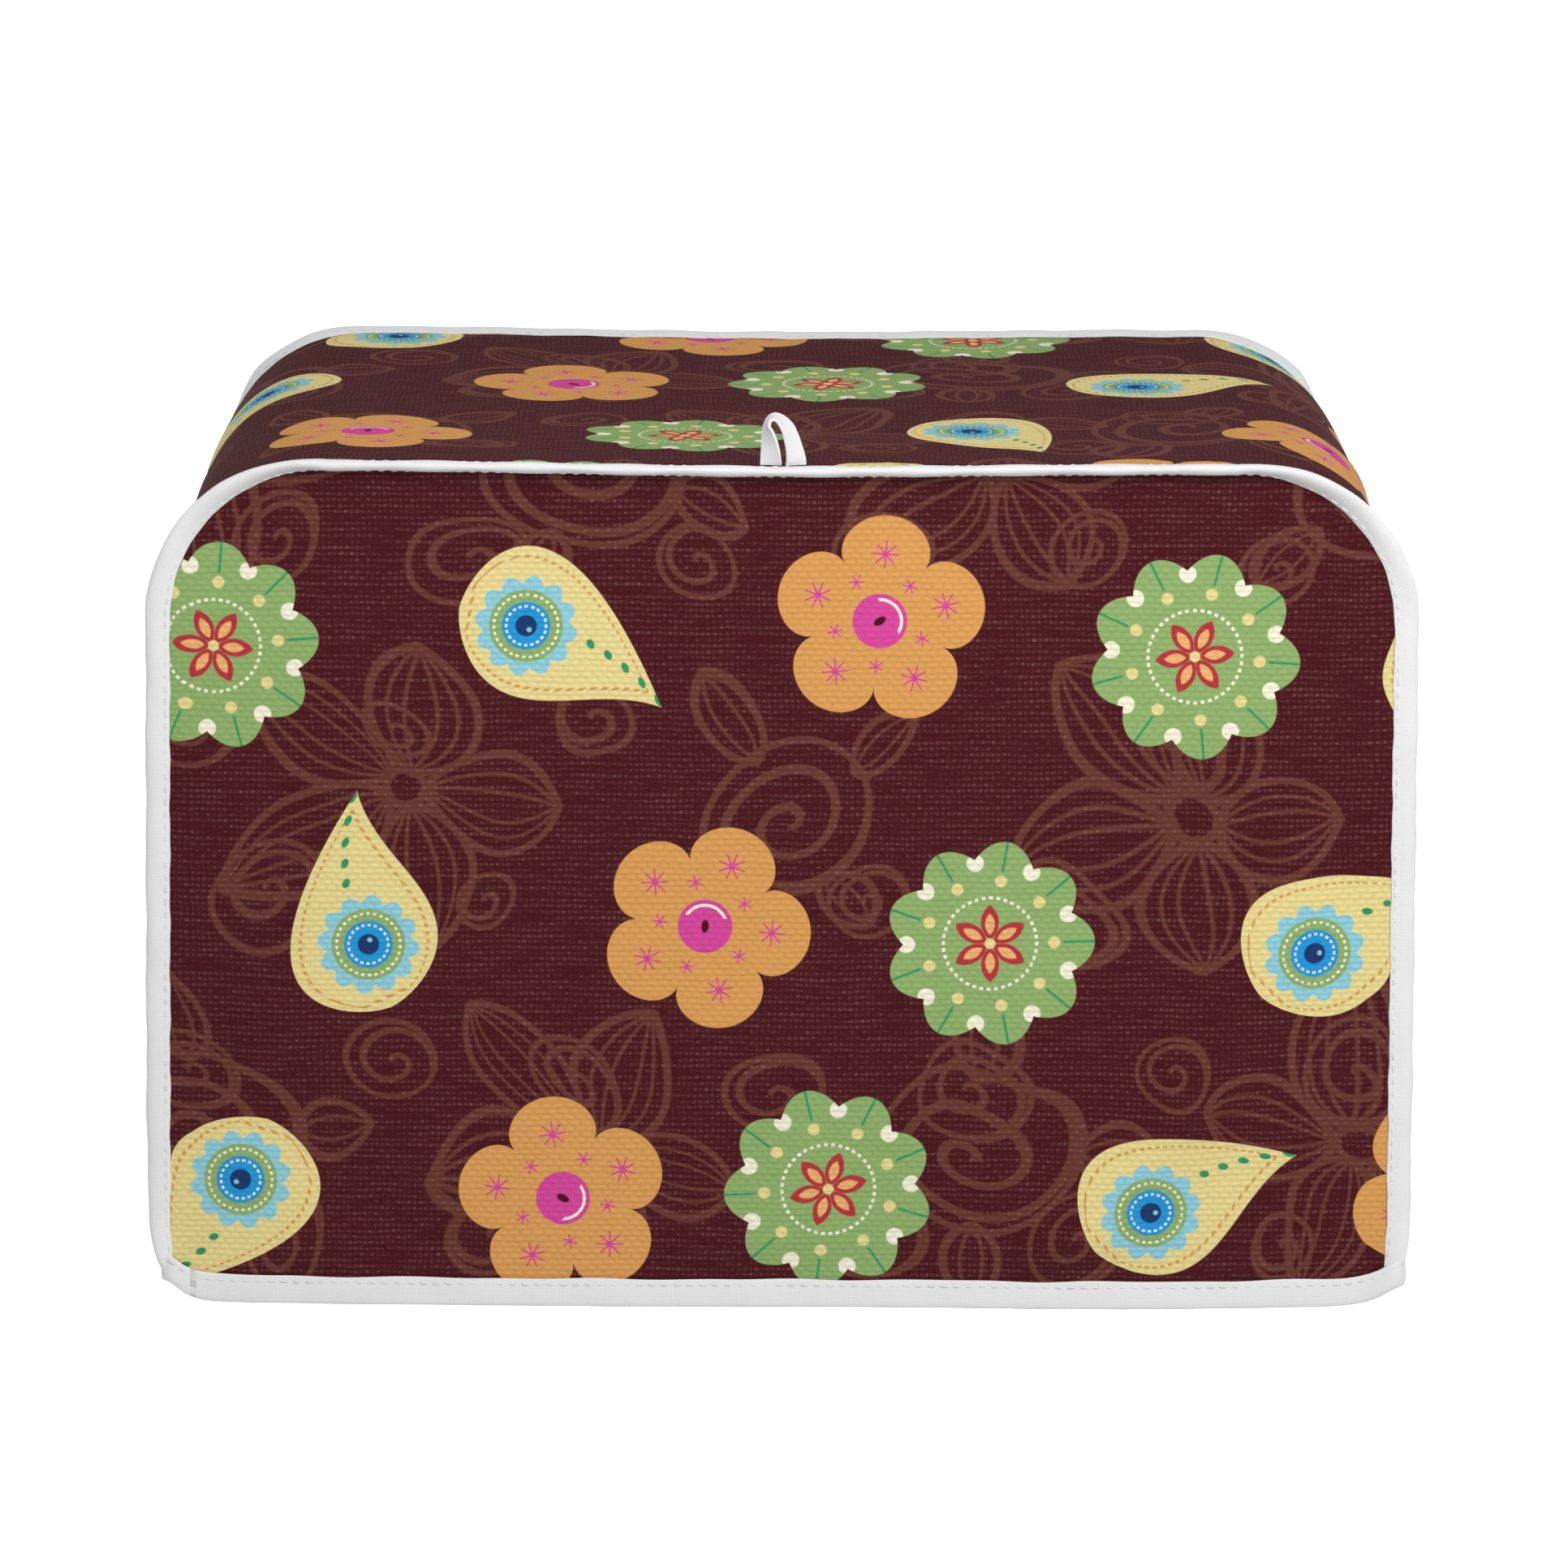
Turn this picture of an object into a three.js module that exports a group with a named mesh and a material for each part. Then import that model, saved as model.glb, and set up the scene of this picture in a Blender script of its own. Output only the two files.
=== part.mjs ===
// A fitted canvas cover for a two-slice toaster, standing on its hem. A front and a back panel with
// rounded top corners are joined by one strip, the gusset, that makes both sides and the top. Each
// seam stands outward as a narrow fin bound in white tape. The front fin lies out flat along the
// sides and tips over forward along the top, and the back one points backward nearly all round. The
// bottom edge is bound as well, and a short loop of tape stands behind the binding in the middle of
// the top front seam.
//
// Millimetres. X runs to the right, Y to the back and Z up. The hem rests on Z = 0.

import * as THREE from "three";

// The cover's box
const depth = 190; // between the planes of the two seams
const seamHalf = 145.8; // half the width between the side seams, where the top corners begin
const seamTop = 207.4; // height of the top seams at their ends
const cornerRadius = 37.3; // of the seams at the top corners
const hemFlare = 1.6; // how much wider each side is at the hem
const topSag = 1.0; // how much lower the top seams hang in the middle

// Cloth and tape
const cloth = 1.1; // canvas
const clothBend = 0.8; // canvas where it is creased at a seam
const clothEdge = 0.5; // canvas pressed flat inside a folded tape
const tape = 0.6;
const gap = 0.3; // between neighbouring pieces

// The bound seam, measured outward from the stitching
const finReach = 7.2; // to the outside of the tape's fold
const finOpen = 1.4; // to where the tape's two edges begin
const finBevel = 0.7; // of the fold's corners
const panelInset = 4; // a panel starts to bend toward its seam this far inside it

// The fins' tilt out of the panels' planes, in degrees
const topLean = 79;
const footLean = 30; // more of it where the front fin is caught at the hem
const footLeanHeight = 21; // and none of that from this height on
const backSideLean = 88; // the back fin is laid back along the gusset up the sides
const backCornerLean = 66; // and stands up most halfway round the corners
const backCornerClimb = [0.3, 0.52]; // the corner's shares between which it comes up

// The bound hem
const hemHeight = 7.0;
const hemFloor = 0.8; // tape under the cloth's edge
const hemBevel = 0.4;
const hemClear = 0.1; // from the tape's upper edge to the row where the cloth is pressed flat
const hemCornerSteps = 5;

// How far the soft sheets stand out or sink in
const frontBow = 3.3;
const backBow = 3.1;
const bowShift = 0.17; // the share that the bow gains to one side and loses to the other
const sideBow = 2.2;
const sideBowLoss = 0.8; // the share of it that is lost at the top
const topDip = 1.4;
const leftShoulder = 2.2;
const rightShoulder = 2.7; // fuller, and fullest toward the front
const rightShoulderShift = 0.35;
const ripple = 0.45;

// The loop: its path from foot to foot, with the turn of the tape about that path, which is 90
// degrees where the tape faces the front and 0 where it shows its edge there.
const loopWidth = 5.5;
const loopTape = 0.9;
const loopSteps = 24;
const loopPath = [
  { x: -3.0, y: -94.2, up: 0.0, turn: 80 },
  { x: -3.0, y: -94.2, up: 1.0, turn: 72 },
  { x: -3.1, y: -94.2, up: 3.0, turn: 60 },
  { x: -3.3, y: -94.0, up: 5.2, turn: 47 },
  { x: -3.7, y: -93.8, up: 7.7, turn: 31 },
  { x: -3.9, y: -93.7, up: 9.6, turn: 12 },
  { x: -3.3, y: -93.6, up: 11.0, turn: 5 },
  { x: -2.0, y: -93.6, up: 11.5, turn: 8 },
  { x: -0.5, y: -93.6, up: 10.6, turn: 18 },
  { x: 0.9, y: -93.7, up: 8.9, turn: 30 },
  { x: 1.8, y: -93.8, up: 6.7, turn: 38 },
  { x: 2.5, y: -94.0, up: 4.2, turn: 45 },
  { x: 3.0, y: -94.2, up: 1.5, turn: 60 },
  { x: 3.0, y: -94.2, up: 0.0, turn: 72 },
];

// The rows of points: heights up a side, and places across the depth
const finFoot = hemHeight + gap;
const clothFoot = 8.2; // where the cloth has its full thickness again above the hem tape
const cornerHeight = seamTop - cornerRadius;
const rowHeights = [clothFoot, 11.5, 15.5, footLeanHeight, 36, 56, 80, 104, 128, 150, cornerHeight];
const depthRows = [-91, -86.5, -58, -29, 0, 29, 58, 86.5, 91];
const hemRows = [hemFloor + gap, hemHeight - hemClear]; // heights of the cloth inside the hem tape
const cornerSteps = 6;
const halfTopSteps = 6;

const cornerX = seamHalf - cornerRadius;
const panelHalf = seamHalf - panelInset;
const halfGap = gap / 2;
const clothMiddle = halfGap + cloth / 2;
const marginEnd = finReach - tape - gap;
const quarterTurn = Math.PI / 2;
const canvasColour = 0x4a141c;
const tapeColour = 0xeeeeee;
const { clamp, degToRad, lerp, smoothstep } = THREE.MathUtils;

// Half the width between the side seams at a height.
function sideHalf(z) {
  return seamHalf + hemFlare * (1 - z / cornerHeight);
}

// The seam's outline, seen from the front. Its run goes from 0 to 1 up the left side, to 2 round the
// corner, to 3 along the top, to 4 round the right corner and to 5 down the right side.
function seamPoint(run) {
  const side = run < 2.5 ? -1 : 1;
  const fromFoot = run < 2.5 ? run : 5 - run;
  let across = cornerX * (1 - 2 * (fromFoot - 2));
  let z = seamTop;
  if (fromFoot <= 1) {
    z = finFoot + (cornerHeight - finFoot) * fromFoot;
    across = sideHalf(z);
  } else if (fromFoot <= 2) {
    const turn = (fromFoot - 1) * quarterTurn;
    across = cornerX + cornerRadius * Math.cos(turn);
    z = cornerHeight + cornerRadius * Math.sin(turn);
  } else {
    z -= topSag * (0.5 + 0.5 * Math.cos((Math.PI * across) / cornerX));
  }
  return { x: side * across, z };
}

// A place on the seam, its outward direction and the two fins' tilts there, in radians.
function seamFrame(run) {
  const step = 0.004;
  const before = seamPoint(Math.max(0, run - step));
  const after = seamPoint(Math.min(5, run + step));
  const length = Math.hypot(after.x - before.x, after.z - before.z);
  const outX = -(after.z - before.z) / length;
  const outZ = (after.x - before.x) / length;
  const { x, z } = seamPoint(run);
  const climb = Math.asin(clamp(outZ, 0, 1)) / quarterTurn; // 0 up the sides and 1 along the top
  const atFoot = clamp((footLeanHeight - z) / (footLeanHeight - clothFoot), 0, 1);
  const frontLean = degToRad(topLean * climb + footLean * atFoot);
  const raised = lerp(backCornerLean, topLean, clamp(2 * climb - 1, 0, 1));
  const backLean = degToRad(lerp(backSideLean, raised, smoothstep(climb, ...backCornerClimb)));
  return { x, z, outX, outZ, frontLean, backLean };
}

const halfRuns = rowHeights.slice(0, -1).map((z) => (z - finFoot) / (cornerHeight - finFoot));
for (let i = 0; i < cornerSteps; i++) halfRuns.push(1 + i / cornerSteps);
for (let i = 0; i < halfTopSteps; i++) halfRuns.push(2 + (0.5 * i) / halfTopSteps);
const runs = [...halfRuns, 2.5, ...halfRuns.map((run) => 5 - run).reverse()];
const frames = runs.map(seamFrame);
const rowCount = rowHeights.length - 1;
const columnCount = 2 * (cornerSteps + halfTopSteps);

// A point near the seam: out is along the outline's outward direction, and past is beyond the
// seam's plane, to the front (face -1) or to the back (face 1).
function nearSeam(frame, face, out, past) {
  const x = frame.x + out * frame.outX;
  const z = frame.z + out * frame.outZ;
  return new THREE.Vector3(x, face * (depth / 2 + past), z);
}

// A face's fin has this tilt at a frame.
function leanOf(frame, face) {
  return face < 0 ? frame.frontLean : frame.backLean;
}

// A point of the fin: reach is measured along it from the stitching, and off is across it, toward
// the panel where it is positive.
function onFin(frame, face, reach, off) {
  const c = Math.cos(leanOf(frame, face));
  const s = Math.sin(leanOf(frame, face));
  return nearSeam(frame, face, reach * c - off * s, reach * s + off * c);
}

// How far a panel stands out at a share of its half width and of its height. It is fullest low
// down, a little to one side, and drawn in to its seams.
function panelBow(face, across, up) {
  const bow = face < 0 ? frontBow : backBow;
  const lopsided = 1 - bowShift * face * across;
  const drawnIn = (1 - across ** 4) * (1 - up ** 3);
  const waves = Math.sin(5.1 * across + 2.3 * up + face) + Math.sin(3.2 * up - 7.3 * across);
  return drawnIn * (bow * lopsided + ripple * waves);
}

// How far the gusset stands out from its seams: the sides bow, more so low down, the top dips and
// the shoulders between them are full.
function gussetBow(frame, y) {
  const back = (2 * y) / depth;
  const fromSeams = Math.cos(back * quarterTurn);
  const onTop = Math.max(0, frame.outZ) ** 2;
  const onSide = frame.outX ** 2;
  const side = sideBow * onSide * (1 - (sideBowLoss * frame.z) / seamTop);
  const waves = Math.sin(0.031 * frame.x + 0.045 * y) * Math.sin(0.027 * frame.z + 1.3);
  const rightFullness = (1 - back ** 6) * (1 - rightShoulderShift * back);
  const shoulder = frame.x < 0 ? leftShoulder * fromSeams : rightShoulder * rightFullness;
  return fromSeams * (side - topDip * onTop ** 2 + ripple * waves) + 4 * onTop * onSide * shoulder;
}

// The middle of a panel's cloth, in one of its columns at a height. The columns end on the seam's
// frames from one corner's beginning to the other's.
function panelMiddle(face, column, z) {
  const frame = frames[rowCount + column];
  const topX = frame.x - panelInset * frame.outX;
  const topZ = frame.z - panelInset * frame.outZ;
  const flare = (hemFlare / panelHalf) * Math.max(0, 1 - z / cornerHeight);
  const bow = panelBow(face, topX / panelHalf, z / (topZ + panelInset));
  return { x: topX * (1 + flare), past: clothMiddle + bow, topZ };
}

// The middle of the gusset's cloth beside a frame, at a depth. Below the lowest frames it follows
// the sides down to a height.
function gussetMiddle(frame, y, z = frame.z) {
  const x = z === frame.z ? frame.x : Math.sign(frame.x) * sideHalf(z);
  return { place: { ...frame, x, z }, out: clothMiddle + gussetBow(frame, y) };
}

function meshOf(name, points, triangles, colour) {
  const geometry = new THREE.BufferGeometry().setFromPoints(points);
  geometry.setIndex(triangles);
  geometry.computeVertexNormals();
  const material = new THREE.MeshStandardMaterial({ color: colour, roughness: 0.9, metalness: 0 });
  const mesh = new THREE.Mesh(geometry, material);
  mesh.name = name;
  return mesh;
}

// A sheet between two grids of points. A quad is four indices, counter-clockwise as seen from
// outside, and it is split from its first to its third. The sheet's free edge is closed all round.
class Sheet {
  outer = [];
  inner = [];
  quads = [];

  add(outerPoint, innerPoint) {
    this.outer.push(outerPoint);
    this.inner.push(innerPoint);
    return this.outer.length - 1;
  }

  // Adds a quad if all its corners are there. A mirrored one is turned over.
  quad(corners, isMirrored = false) {
    if (corners.includes(undefined)) return;
    const [a, b, c, d] = corners;
    this.quads.push(isMirrored ? [a, d, c, b] : [a, b, c, d]);
  }

  mesh(name, colour) {
    const triangles = [];
    const free = new Map();
    const below = this.outer.length;
    for (const [a, b, c, d] of this.quads) {
      triangles.push(a, b, c, a, c, d);
      triangles.push(below + a, below + c, below + b, below + a, below + d, below + c);
      for (const [from, to] of [[a, b], [b, c], [c, d], [d, a]]) {
        if (!free.delete(`${to} ${from}`)) free.set(`${from} ${to}`, [from, to]);
      }
    }
    for (const [from, to] of free.values()) {
      triangles.push(from, below + from, below + to, from, below + to, to);
    }
    return meshOf(name, [...this.outer, ...this.inner], triangles, colour);
  }
}

// A solid through like sections, each a closed loop of points. The outline is the loop in its own
// plane, counter-clockwise, as pairs of which the first is the distance from a seam: neighbouring
// pieces split their twisted quads by it, from the nearer point to the further one in the next
// section. A mirrored solid is turned over, and a ring has no ends to cap.
function loftMesh(name, sections, outline, colour, { isMirrored = false, isRing = false } = {}) {
  const size = outline.length;
  const faces = [];
  const joins = isRing ? sections.length : sections.length - 1;
  for (let k = 0; k < joins; k++) {
    const here = k * size;
    const next = ((k + 1) % sections.length) * size;
    for (let i = 0; i < size; i++) {
      const j = (i + 1) % size;
      if (outline[i][0] <= outline[j][0]) {
        faces.push([here + i, here + j, next + j], [here + i, next + j, next + i]);
      } else {
        faces.push([here + i, here + j, next + i], [here + j, next + j, next + i]);
      }
    }
  }
  if (!isRing) {
    const last = (sections.length - 1) * size;
    const contour = outline.map(([u, v]) => new THREE.Vector2(u, v));
    for (const corners of THREE.ShapeUtils.triangulateShape(contour, [])) {
      const isTurned = THREE.ShapeUtils.isClockWise(corners.map((i) => contour[i]));
      const [a, b, c] = isTurned ? corners.reverse() : corners;
      faces.push([a, c, b], [last + a, last + b, last + c]);
    }
  }
  const triangles = faces.flatMap(([a, b, c]) => (isMirrored ? [a, c, b] : [a, b, c]));
  return meshOf(name, sections.flat(), triangles, colour);
}

// A panel: a grid of columns that end just inside the rounded outline, and a margin bent out into
// the fin all round but at the hem, where the cloth goes down pressed flat into the hem tape.
function panelMesh(name, face) {
  const sheet = new Sheet();
  const isMirrored = face > 0;
  const addAt = (column, z, thickness) => {
    const { x, past } = panelMiddle(face, column, z);
    const [near, far] = [past - thickness / 2, past + thickness / 2];
    return sheet.add(
      new THREE.Vector3(x, face * (depth / 2 + far), z),
      new THREE.Vector3(x, face * (depth / 2 + near), z),
    );
  };

  const grid = [];
  for (let i = 0; i <= columnCount; i++) {
    const { topZ } = panelMiddle(face, i, clothFoot);
    const stretch = (topZ - clothFoot) / (cornerHeight - clothFoot);
    grid.push(rowHeights.map((z) => addAt(i, clothFoot + stretch * (z - clothFoot), cloth)));
  }
  for (let i = 0; i < columnCount; i++) {
    const [left, right] = [grid[i], grid[i + 1]];
    for (let j = 0; j < rowCount; j++) {
      sheet.quad([left[j], right[j], right[j + 1], left[j + 1]], isMirrored);
    }
  }

  let above = grid.map((column) => column[0]);
  for (const z of hemRows.toReversed()) {
    const row = grid.map((_, i) => (i % columnCount ? addAt(i, z, clothEdge) : undefined));
    for (let i = 0; i < columnCount; i++) {
      sheet.quad([row[i], row[i + 1], above[i + 1], above[i]], isMirrored);
    }
    above = row;
  }

  const creased = (frame) => {
    const bend = Math.tan(leanOf(frame, face) / 2);
    const far = halfGap + clothBend;
    return [nearSeam(frame, face, -far * bend, far), nearSeam(frame, face, -halfGap * bend, halfGap)];
  };
  const pressed = (frame, reach) => [
    onFin(frame, face, reach, halfGap + clothEdge),
    onFin(frame, face, reach, halfGap),
  ];
  let inside = [
    ...grid[0].slice(0, -1),
    ...grid.map((column) => column[rowCount]),
    ...grid[columnCount].slice(0, -1).reverse(),
  ];
  for (const points of [creased, (f) => pressed(f, finOpen), (f) => pressed(f, marginEnd)]) {
    const ring = frames.map((frame) => sheet.add(...points(frame)));
    for (let k = 0; k < frames.length - 1; k++) {
      sheet.quad([inside[k], inside[k + 1], ring[k + 1], ring[k]], isMirrored);
    }
    inside = ring;
  }
  return sheet.mesh(name, canvasColour);
}

// The gusset: a row of points across the cover's depth beside each frame of the seam, bent out at
// both ends into the fins, and at each foot two more rows, pressed flat, inside the hem tape.
function gussetMesh() {
  const sheet = new Sheet();
  const addMain = (frame, y, z, thickness) => {
    const { place, out } = gussetMiddle(frame, y, z);
    const past = Math.abs(y) - depth / 2;
    const face = y < 0 ? -1 : 1;
    return sheet.add(
      nearSeam(place, face, out + thickness / 2, past),
      nearSeam(place, face, out - thickness / 2, past),
    );
  };
  const addFin = (frame, face) => {
    const bend = Math.tan((quarterTurn - leanOf(frame, face)) / 2);
    const far = halfGap + clothBend;
    const creased = sheet.add(
      nearSeam(frame, face, far, -far * bend),
      nearSeam(frame, face, halfGap, -halfGap * bend),
    );
    const pressed = [finOpen, marginEnd].map((reach) =>
      sheet.add(
        onFin(frame, face, reach, -halfGap - clothEdge),
        onFin(frame, face, reach, -halfGap),
      ),
    );
    return [creased, ...pressed];
  };
  const fullRow = (frame) => [
    ...addFin(frame, -1).reverse(),
    ...depthRows.map((y) => addMain(frame, y, frame.z, cloth)),
    ...addFin(frame, 1),
  ];
  const margin = [undefined, undefined, undefined];
  const hemRow = (frame, z) => [
    ...margin,
    ...depthRows.map((y, i) =>
      i % (depthRows.length - 1) ? addMain(frame, y, z, clothEdge) : undefined,
    ),
    ...margin,
  ];

  const leftFoot = frames[0];
  const rightFoot = frames[frames.length - 1];
  const rows = [
    ...hemRows.map((z) => hemRow(leftFoot, z)),
    ...frames.map(fullRow),
    ...hemRows.toReversed().map((z) => hemRow(rightFoot, z)),
  ];
  for (let k = 0; k < rows.length - 1; k++) {
    for (let i = 0; i < rows[k].length - 1; i++) {
      const [a, b, c, d] = [rows[k][i], rows[k + 1][i], rows[k + 1][i + 1], rows[k][i + 1]];
      const isFrontHalf = i < rows[k].length / 2;
      sheet.quad(isFrontHalf ? [d, a, b, c] : [a, b, c, d]);
    }
  }
  return sheet.mesh("gusset", canvasColour);
}

// The white tape folded over a seam's fin, from hem to hem.
function bindingMesh(name, face) {
  const inside = halfGap + clothEdge + gap;
  const outside = inside + tape;
  const fold = finReach - tape;
  const outline = [
    [finOpen, -outside],
    [finReach - finBevel, -outside],
    [finReach, finBevel - outside],
    [finReach, outside - finBevel],
    [finReach - finBevel, outside],
    [finOpen, outside],
    [finOpen, inside],
    [fold, inside],
    [fold, -inside],
    [finOpen, -inside],
  ];
  const places = [seamFrame(0), ...frames, seamFrame(5)];
  const sections = places.map((frame) =>
    outline.map(([reach, off]) => onFin(frame, face, reach, off)),
  );
  return loftMesh(name, sections, outline, tapeColour, { isMirrored: face > 0 });
}

// The line of the cloth's edge inside the hem, seen from above: along the front to the right, and
// on round the cover, with rounded corners.
function hemLine() {
  const [hemZ] = hemRows;
  const columns = [];
  for (let i = 1; i < columnCount; i++) columns.push(i);
  const along = (face) =>
    columns.map((i) => {
      const { x, past } = panelMiddle(face, i, hemZ);
      return new THREE.Vector2(x, face * (depth / 2 + past));
    });
  const side = (frame) =>
    depthRows.slice(1, -1).map((y) => {
      const { place, out } = gussetMiddle(frame, y, hemZ);
      return new THREE.Vector2(place.x + out * frame.outX, y);
    });
  const front = along(-1);
  const right = side(frames[frames.length - 1]);
  const back = along(1).reverse();
  const left = side(frames[0]).reverse();
  const line = [];
  for (const [run, following] of [[front, right], [right, back], [back, left], [left, front]]) {
    line.push(...run);
    const [from, to] = [run[run.length - 1], following[0]];
    const isFrontOrBack = run === front || run === back;
    const corner = isFrontOrBack ? new THREE.Vector2(to.x, from.y) : new THREE.Vector2(from.x, to.y);
    const curve = new THREE.QuadraticBezierCurve(from, corner, to);
    line.push(...curve.getPoints(hemCornerSteps).slice(1, -1));
  }
  return line;
}

// The white tape folded over the bottom edge, all the way round.
function hemMesh() {
  const slot = clothEdge / 2 + gap;
  const half = slot + tape;
  const outline = [
    [hemBevel - half, 0],
    [half - hemBevel, 0],
    [half, hemBevel],
    [half, hemHeight],
    [slot, hemHeight],
    [slot, hemFloor],
    [-slot, hemFloor],
    [-slot, hemHeight],
    [-half, hemHeight],
    [-half, hemBevel],
  ];
  const line = hemLine();
  const sections = line.map((point, k) => {
    const before = line[(k + line.length - 1) % line.length];
    const after = line[(k + 1) % line.length];
    const along = after.clone().sub(before).normalize();
    const corners = outline.map(
      ([out, up]) => new THREE.Vector3(point.x + out * along.y, point.y - out * along.x, up),
    );
    return corners;
  });
  const form = { isMirrored: true, isRing: true };
  return loftMesh("hem_binding", sections, outline, tapeColour, form);
}

// The hanging loop: a short tape, both feet behind the front binding, side by side.
function loopMesh() {
  const seam = seamPoint(2.5).z;
  const footZ = seam + halfGap + cloth + gap;
  const points = loopPath.map(({ x, y, up }) => new THREE.Vector3(x, y, footZ + up));
  const curve = new THREE.CatmullRomCurve3(points, false, "centripetal");
  const outline = [
    [-loopWidth / 2, -loopTape / 2],
    [loopWidth / 2, -loopTape / 2],
    [loopWidth / 2, loopTape / 2],
    [-loopWidth / 2, loopTape / 2],
  ];
  const backward = new THREE.Vector3(0, 1, 0);
  const sections = [];
  for (let k = 0; k <= loopSteps; k++) {
    const share = k / loopSteps;
    const centre = curve.getPoint(share);
    const along = curve.getTangent(share);
    const outward = along.clone().cross(backward).normalize();
    const inDepth = outward.clone().cross(along);
    const spot = share * (loopPath.length - 1);
    const low = Math.min(Math.floor(spot), loopPath.length - 2);
    const turn = degToRad(lerp(loopPath[low].turn, loopPath[low + 1].turn, spot - low));
    const wide = inDepth.clone().multiplyScalar(Math.cos(turn));
    wide.addScaledVector(outward, Math.sin(turn));
    const facing = outward.clone().multiplyScalar(Math.cos(turn));
    facing.addScaledVector(inDepth, -Math.sin(turn));
    const corners = outline.map(([w, t]) =>
      centre.clone().addScaledVector(wide, w).addScaledVector(facing, t),
    );
    sections.push(corners);
  }
  return loftMesh("loop", sections, outline, tapeColour);
}

const group = new THREE.Group();
group.add(
  panelMesh("front_panel", -1),
  panelMesh("back_panel", 1),
  gussetMesh(),
  bindingMesh("front_binding", -1),
  bindingMesh("back_binding", 1),
  hemMesh(),
  loopMesh(),
);

export default group;
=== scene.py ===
"""A fitted canvas cover for a two-slice toaster, standing on its bound hem.

Sizes are in millimetres until a mesh is made. X runs to the right, Y to the back and Z up.
"""
import math

import bmesh
import bpy
import numpy as np
from mathutils import Matrix


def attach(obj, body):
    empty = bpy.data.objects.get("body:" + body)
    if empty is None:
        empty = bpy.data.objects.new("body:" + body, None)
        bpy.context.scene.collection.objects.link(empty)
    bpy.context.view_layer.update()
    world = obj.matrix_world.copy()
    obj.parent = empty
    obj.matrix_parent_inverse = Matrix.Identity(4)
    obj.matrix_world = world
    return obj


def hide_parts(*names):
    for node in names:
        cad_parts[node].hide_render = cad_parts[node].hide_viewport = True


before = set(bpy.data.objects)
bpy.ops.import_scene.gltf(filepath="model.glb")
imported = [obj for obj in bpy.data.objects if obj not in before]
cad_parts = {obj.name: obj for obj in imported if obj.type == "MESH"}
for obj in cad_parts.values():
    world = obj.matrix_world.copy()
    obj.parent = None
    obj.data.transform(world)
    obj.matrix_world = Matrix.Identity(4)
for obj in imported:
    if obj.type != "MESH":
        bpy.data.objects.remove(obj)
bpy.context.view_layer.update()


# The front panel is one piece of printed canvas with two rounded top corners. It is drawn in to its
# seams, a little full low down, and has one soft ridge from the right edge down to the hem. Its raw
# margin turns out into the seam's fin, and its foot goes down between the two leaves of the hem tape.
DEPTH = 190.0
SEAM_HALF = 145.8
SEAM_TOP = 207.4
CORNER_RADIUS = 37.3
HEM_FLARE = 1.6
TOP_SAG = 1.0
RUN_STEP = 0.004
CLOTH = 1.1
CLOTH_BEND = 0.8
CLOTH_EDGE = 0.5
HALF_GAP = 0.15
CLOTH_MIDDLE = HALF_GAP + CLOTH / 2
FIN_OPEN = 1.4
MARGIN_END = 6.3
PANEL_INSET = 4.0
TOP_LEAN = 79.0
FOOT_LEAN = 30.0
FOOT_LEAN_HEIGHT = 21.0
BACK_SIDE_LEAN = 88.0
BACK_CORNER_LEAN = 66.0
BACK_CORNER_CLIMB = (0.3, 0.52)
FIN_FOOT = 7.3
# Shares by which the fins narrow down to the hem, each with the height over which it fades.
FIN_NARROWING = {"left": [(0.35, 13), (0.35, 3)], "right": [(0.06, 16), (0.5, 3)]}
CLOTH_FOOT = 8.2
FRONT, BACK = -1, 1
BOW = {FRONT: 3.3, BACK: 3.1}
BOW_SHIFT = 0.17
RIPPLE = 0.45
PUCKER_HEIGHT = 0.13
PUCKER_PLACE = 3.0
PUCKER_WIDTH = 5.5
FOLD_FREE = 16
HEM_FREE = 9
CORNER_HEIGHT = SEAM_TOP - CORNER_RADIUS
CORNER_X = SEAM_HALF - CORNER_RADIUS
PANEL_HALF = SEAM_HALF - PANEL_INSET
HEM_ROWS = (1.1, 4.0, 6.9)
HEM_COLUMN_END = 140.7
HEM_CORNER_X = (149.0, 151.5)
HEM_CORNER_Y = 96.1
HEM_CORNER_LIFT = 5.3
HEM_CORNER_WIDE = (4.2, 5.6)
HEM_CORNER_DEEP = 14.0
CORNER_STEPS = 30
PANEL_TOP_STEPS = 136
PANEL_ROWS = 100
BEND_STEPS = 6
BACK_CUT = (431, 57)
MM = 0.001


def side_half(z):
    return SEAM_HALF + HEM_FLARE * (1 - z / CORNER_HEIGHT)


def seam_point(run):
    """The seam's outline. Run is 0 to 1 up the left side, to 2 round the corner, to 3 along the top,
    to 4 round the right corner and to 5 down the right side."""
    side = np.where(run < 2.5, -1.0, 1.0)
    from_foot = np.where(run < 2.5, run, 5 - run)
    up_side = FIN_FOOT + (CORNER_HEIGHT - FIN_FOOT) * from_foot
    turn = (from_foot - 1) * math.pi / 2
    on_top = CORNER_X * (1 - 2 * (from_foot - 2))
    sag = TOP_SAG * (0.5 + 0.5 * np.cos(math.pi * on_top / CORNER_X))
    parts = [from_foot <= 1, from_foot <= 2]
    across = np.select(parts, [side_half(up_side), CORNER_X + CORNER_RADIUS * np.cos(turn)], on_top)
    z = np.select(parts, [up_side, CORNER_HEIGHT + CORNER_RADIUS * np.sin(turn)], SEAM_TOP - sag)
    return side * across, z


def smooth(low, high, value):
    share = np.clip((value - low) / (high - low), 0, 1)
    return share * share * (3 - 2 * share)


def mix(low, high, share):
    return low + (high - low) * share


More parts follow.
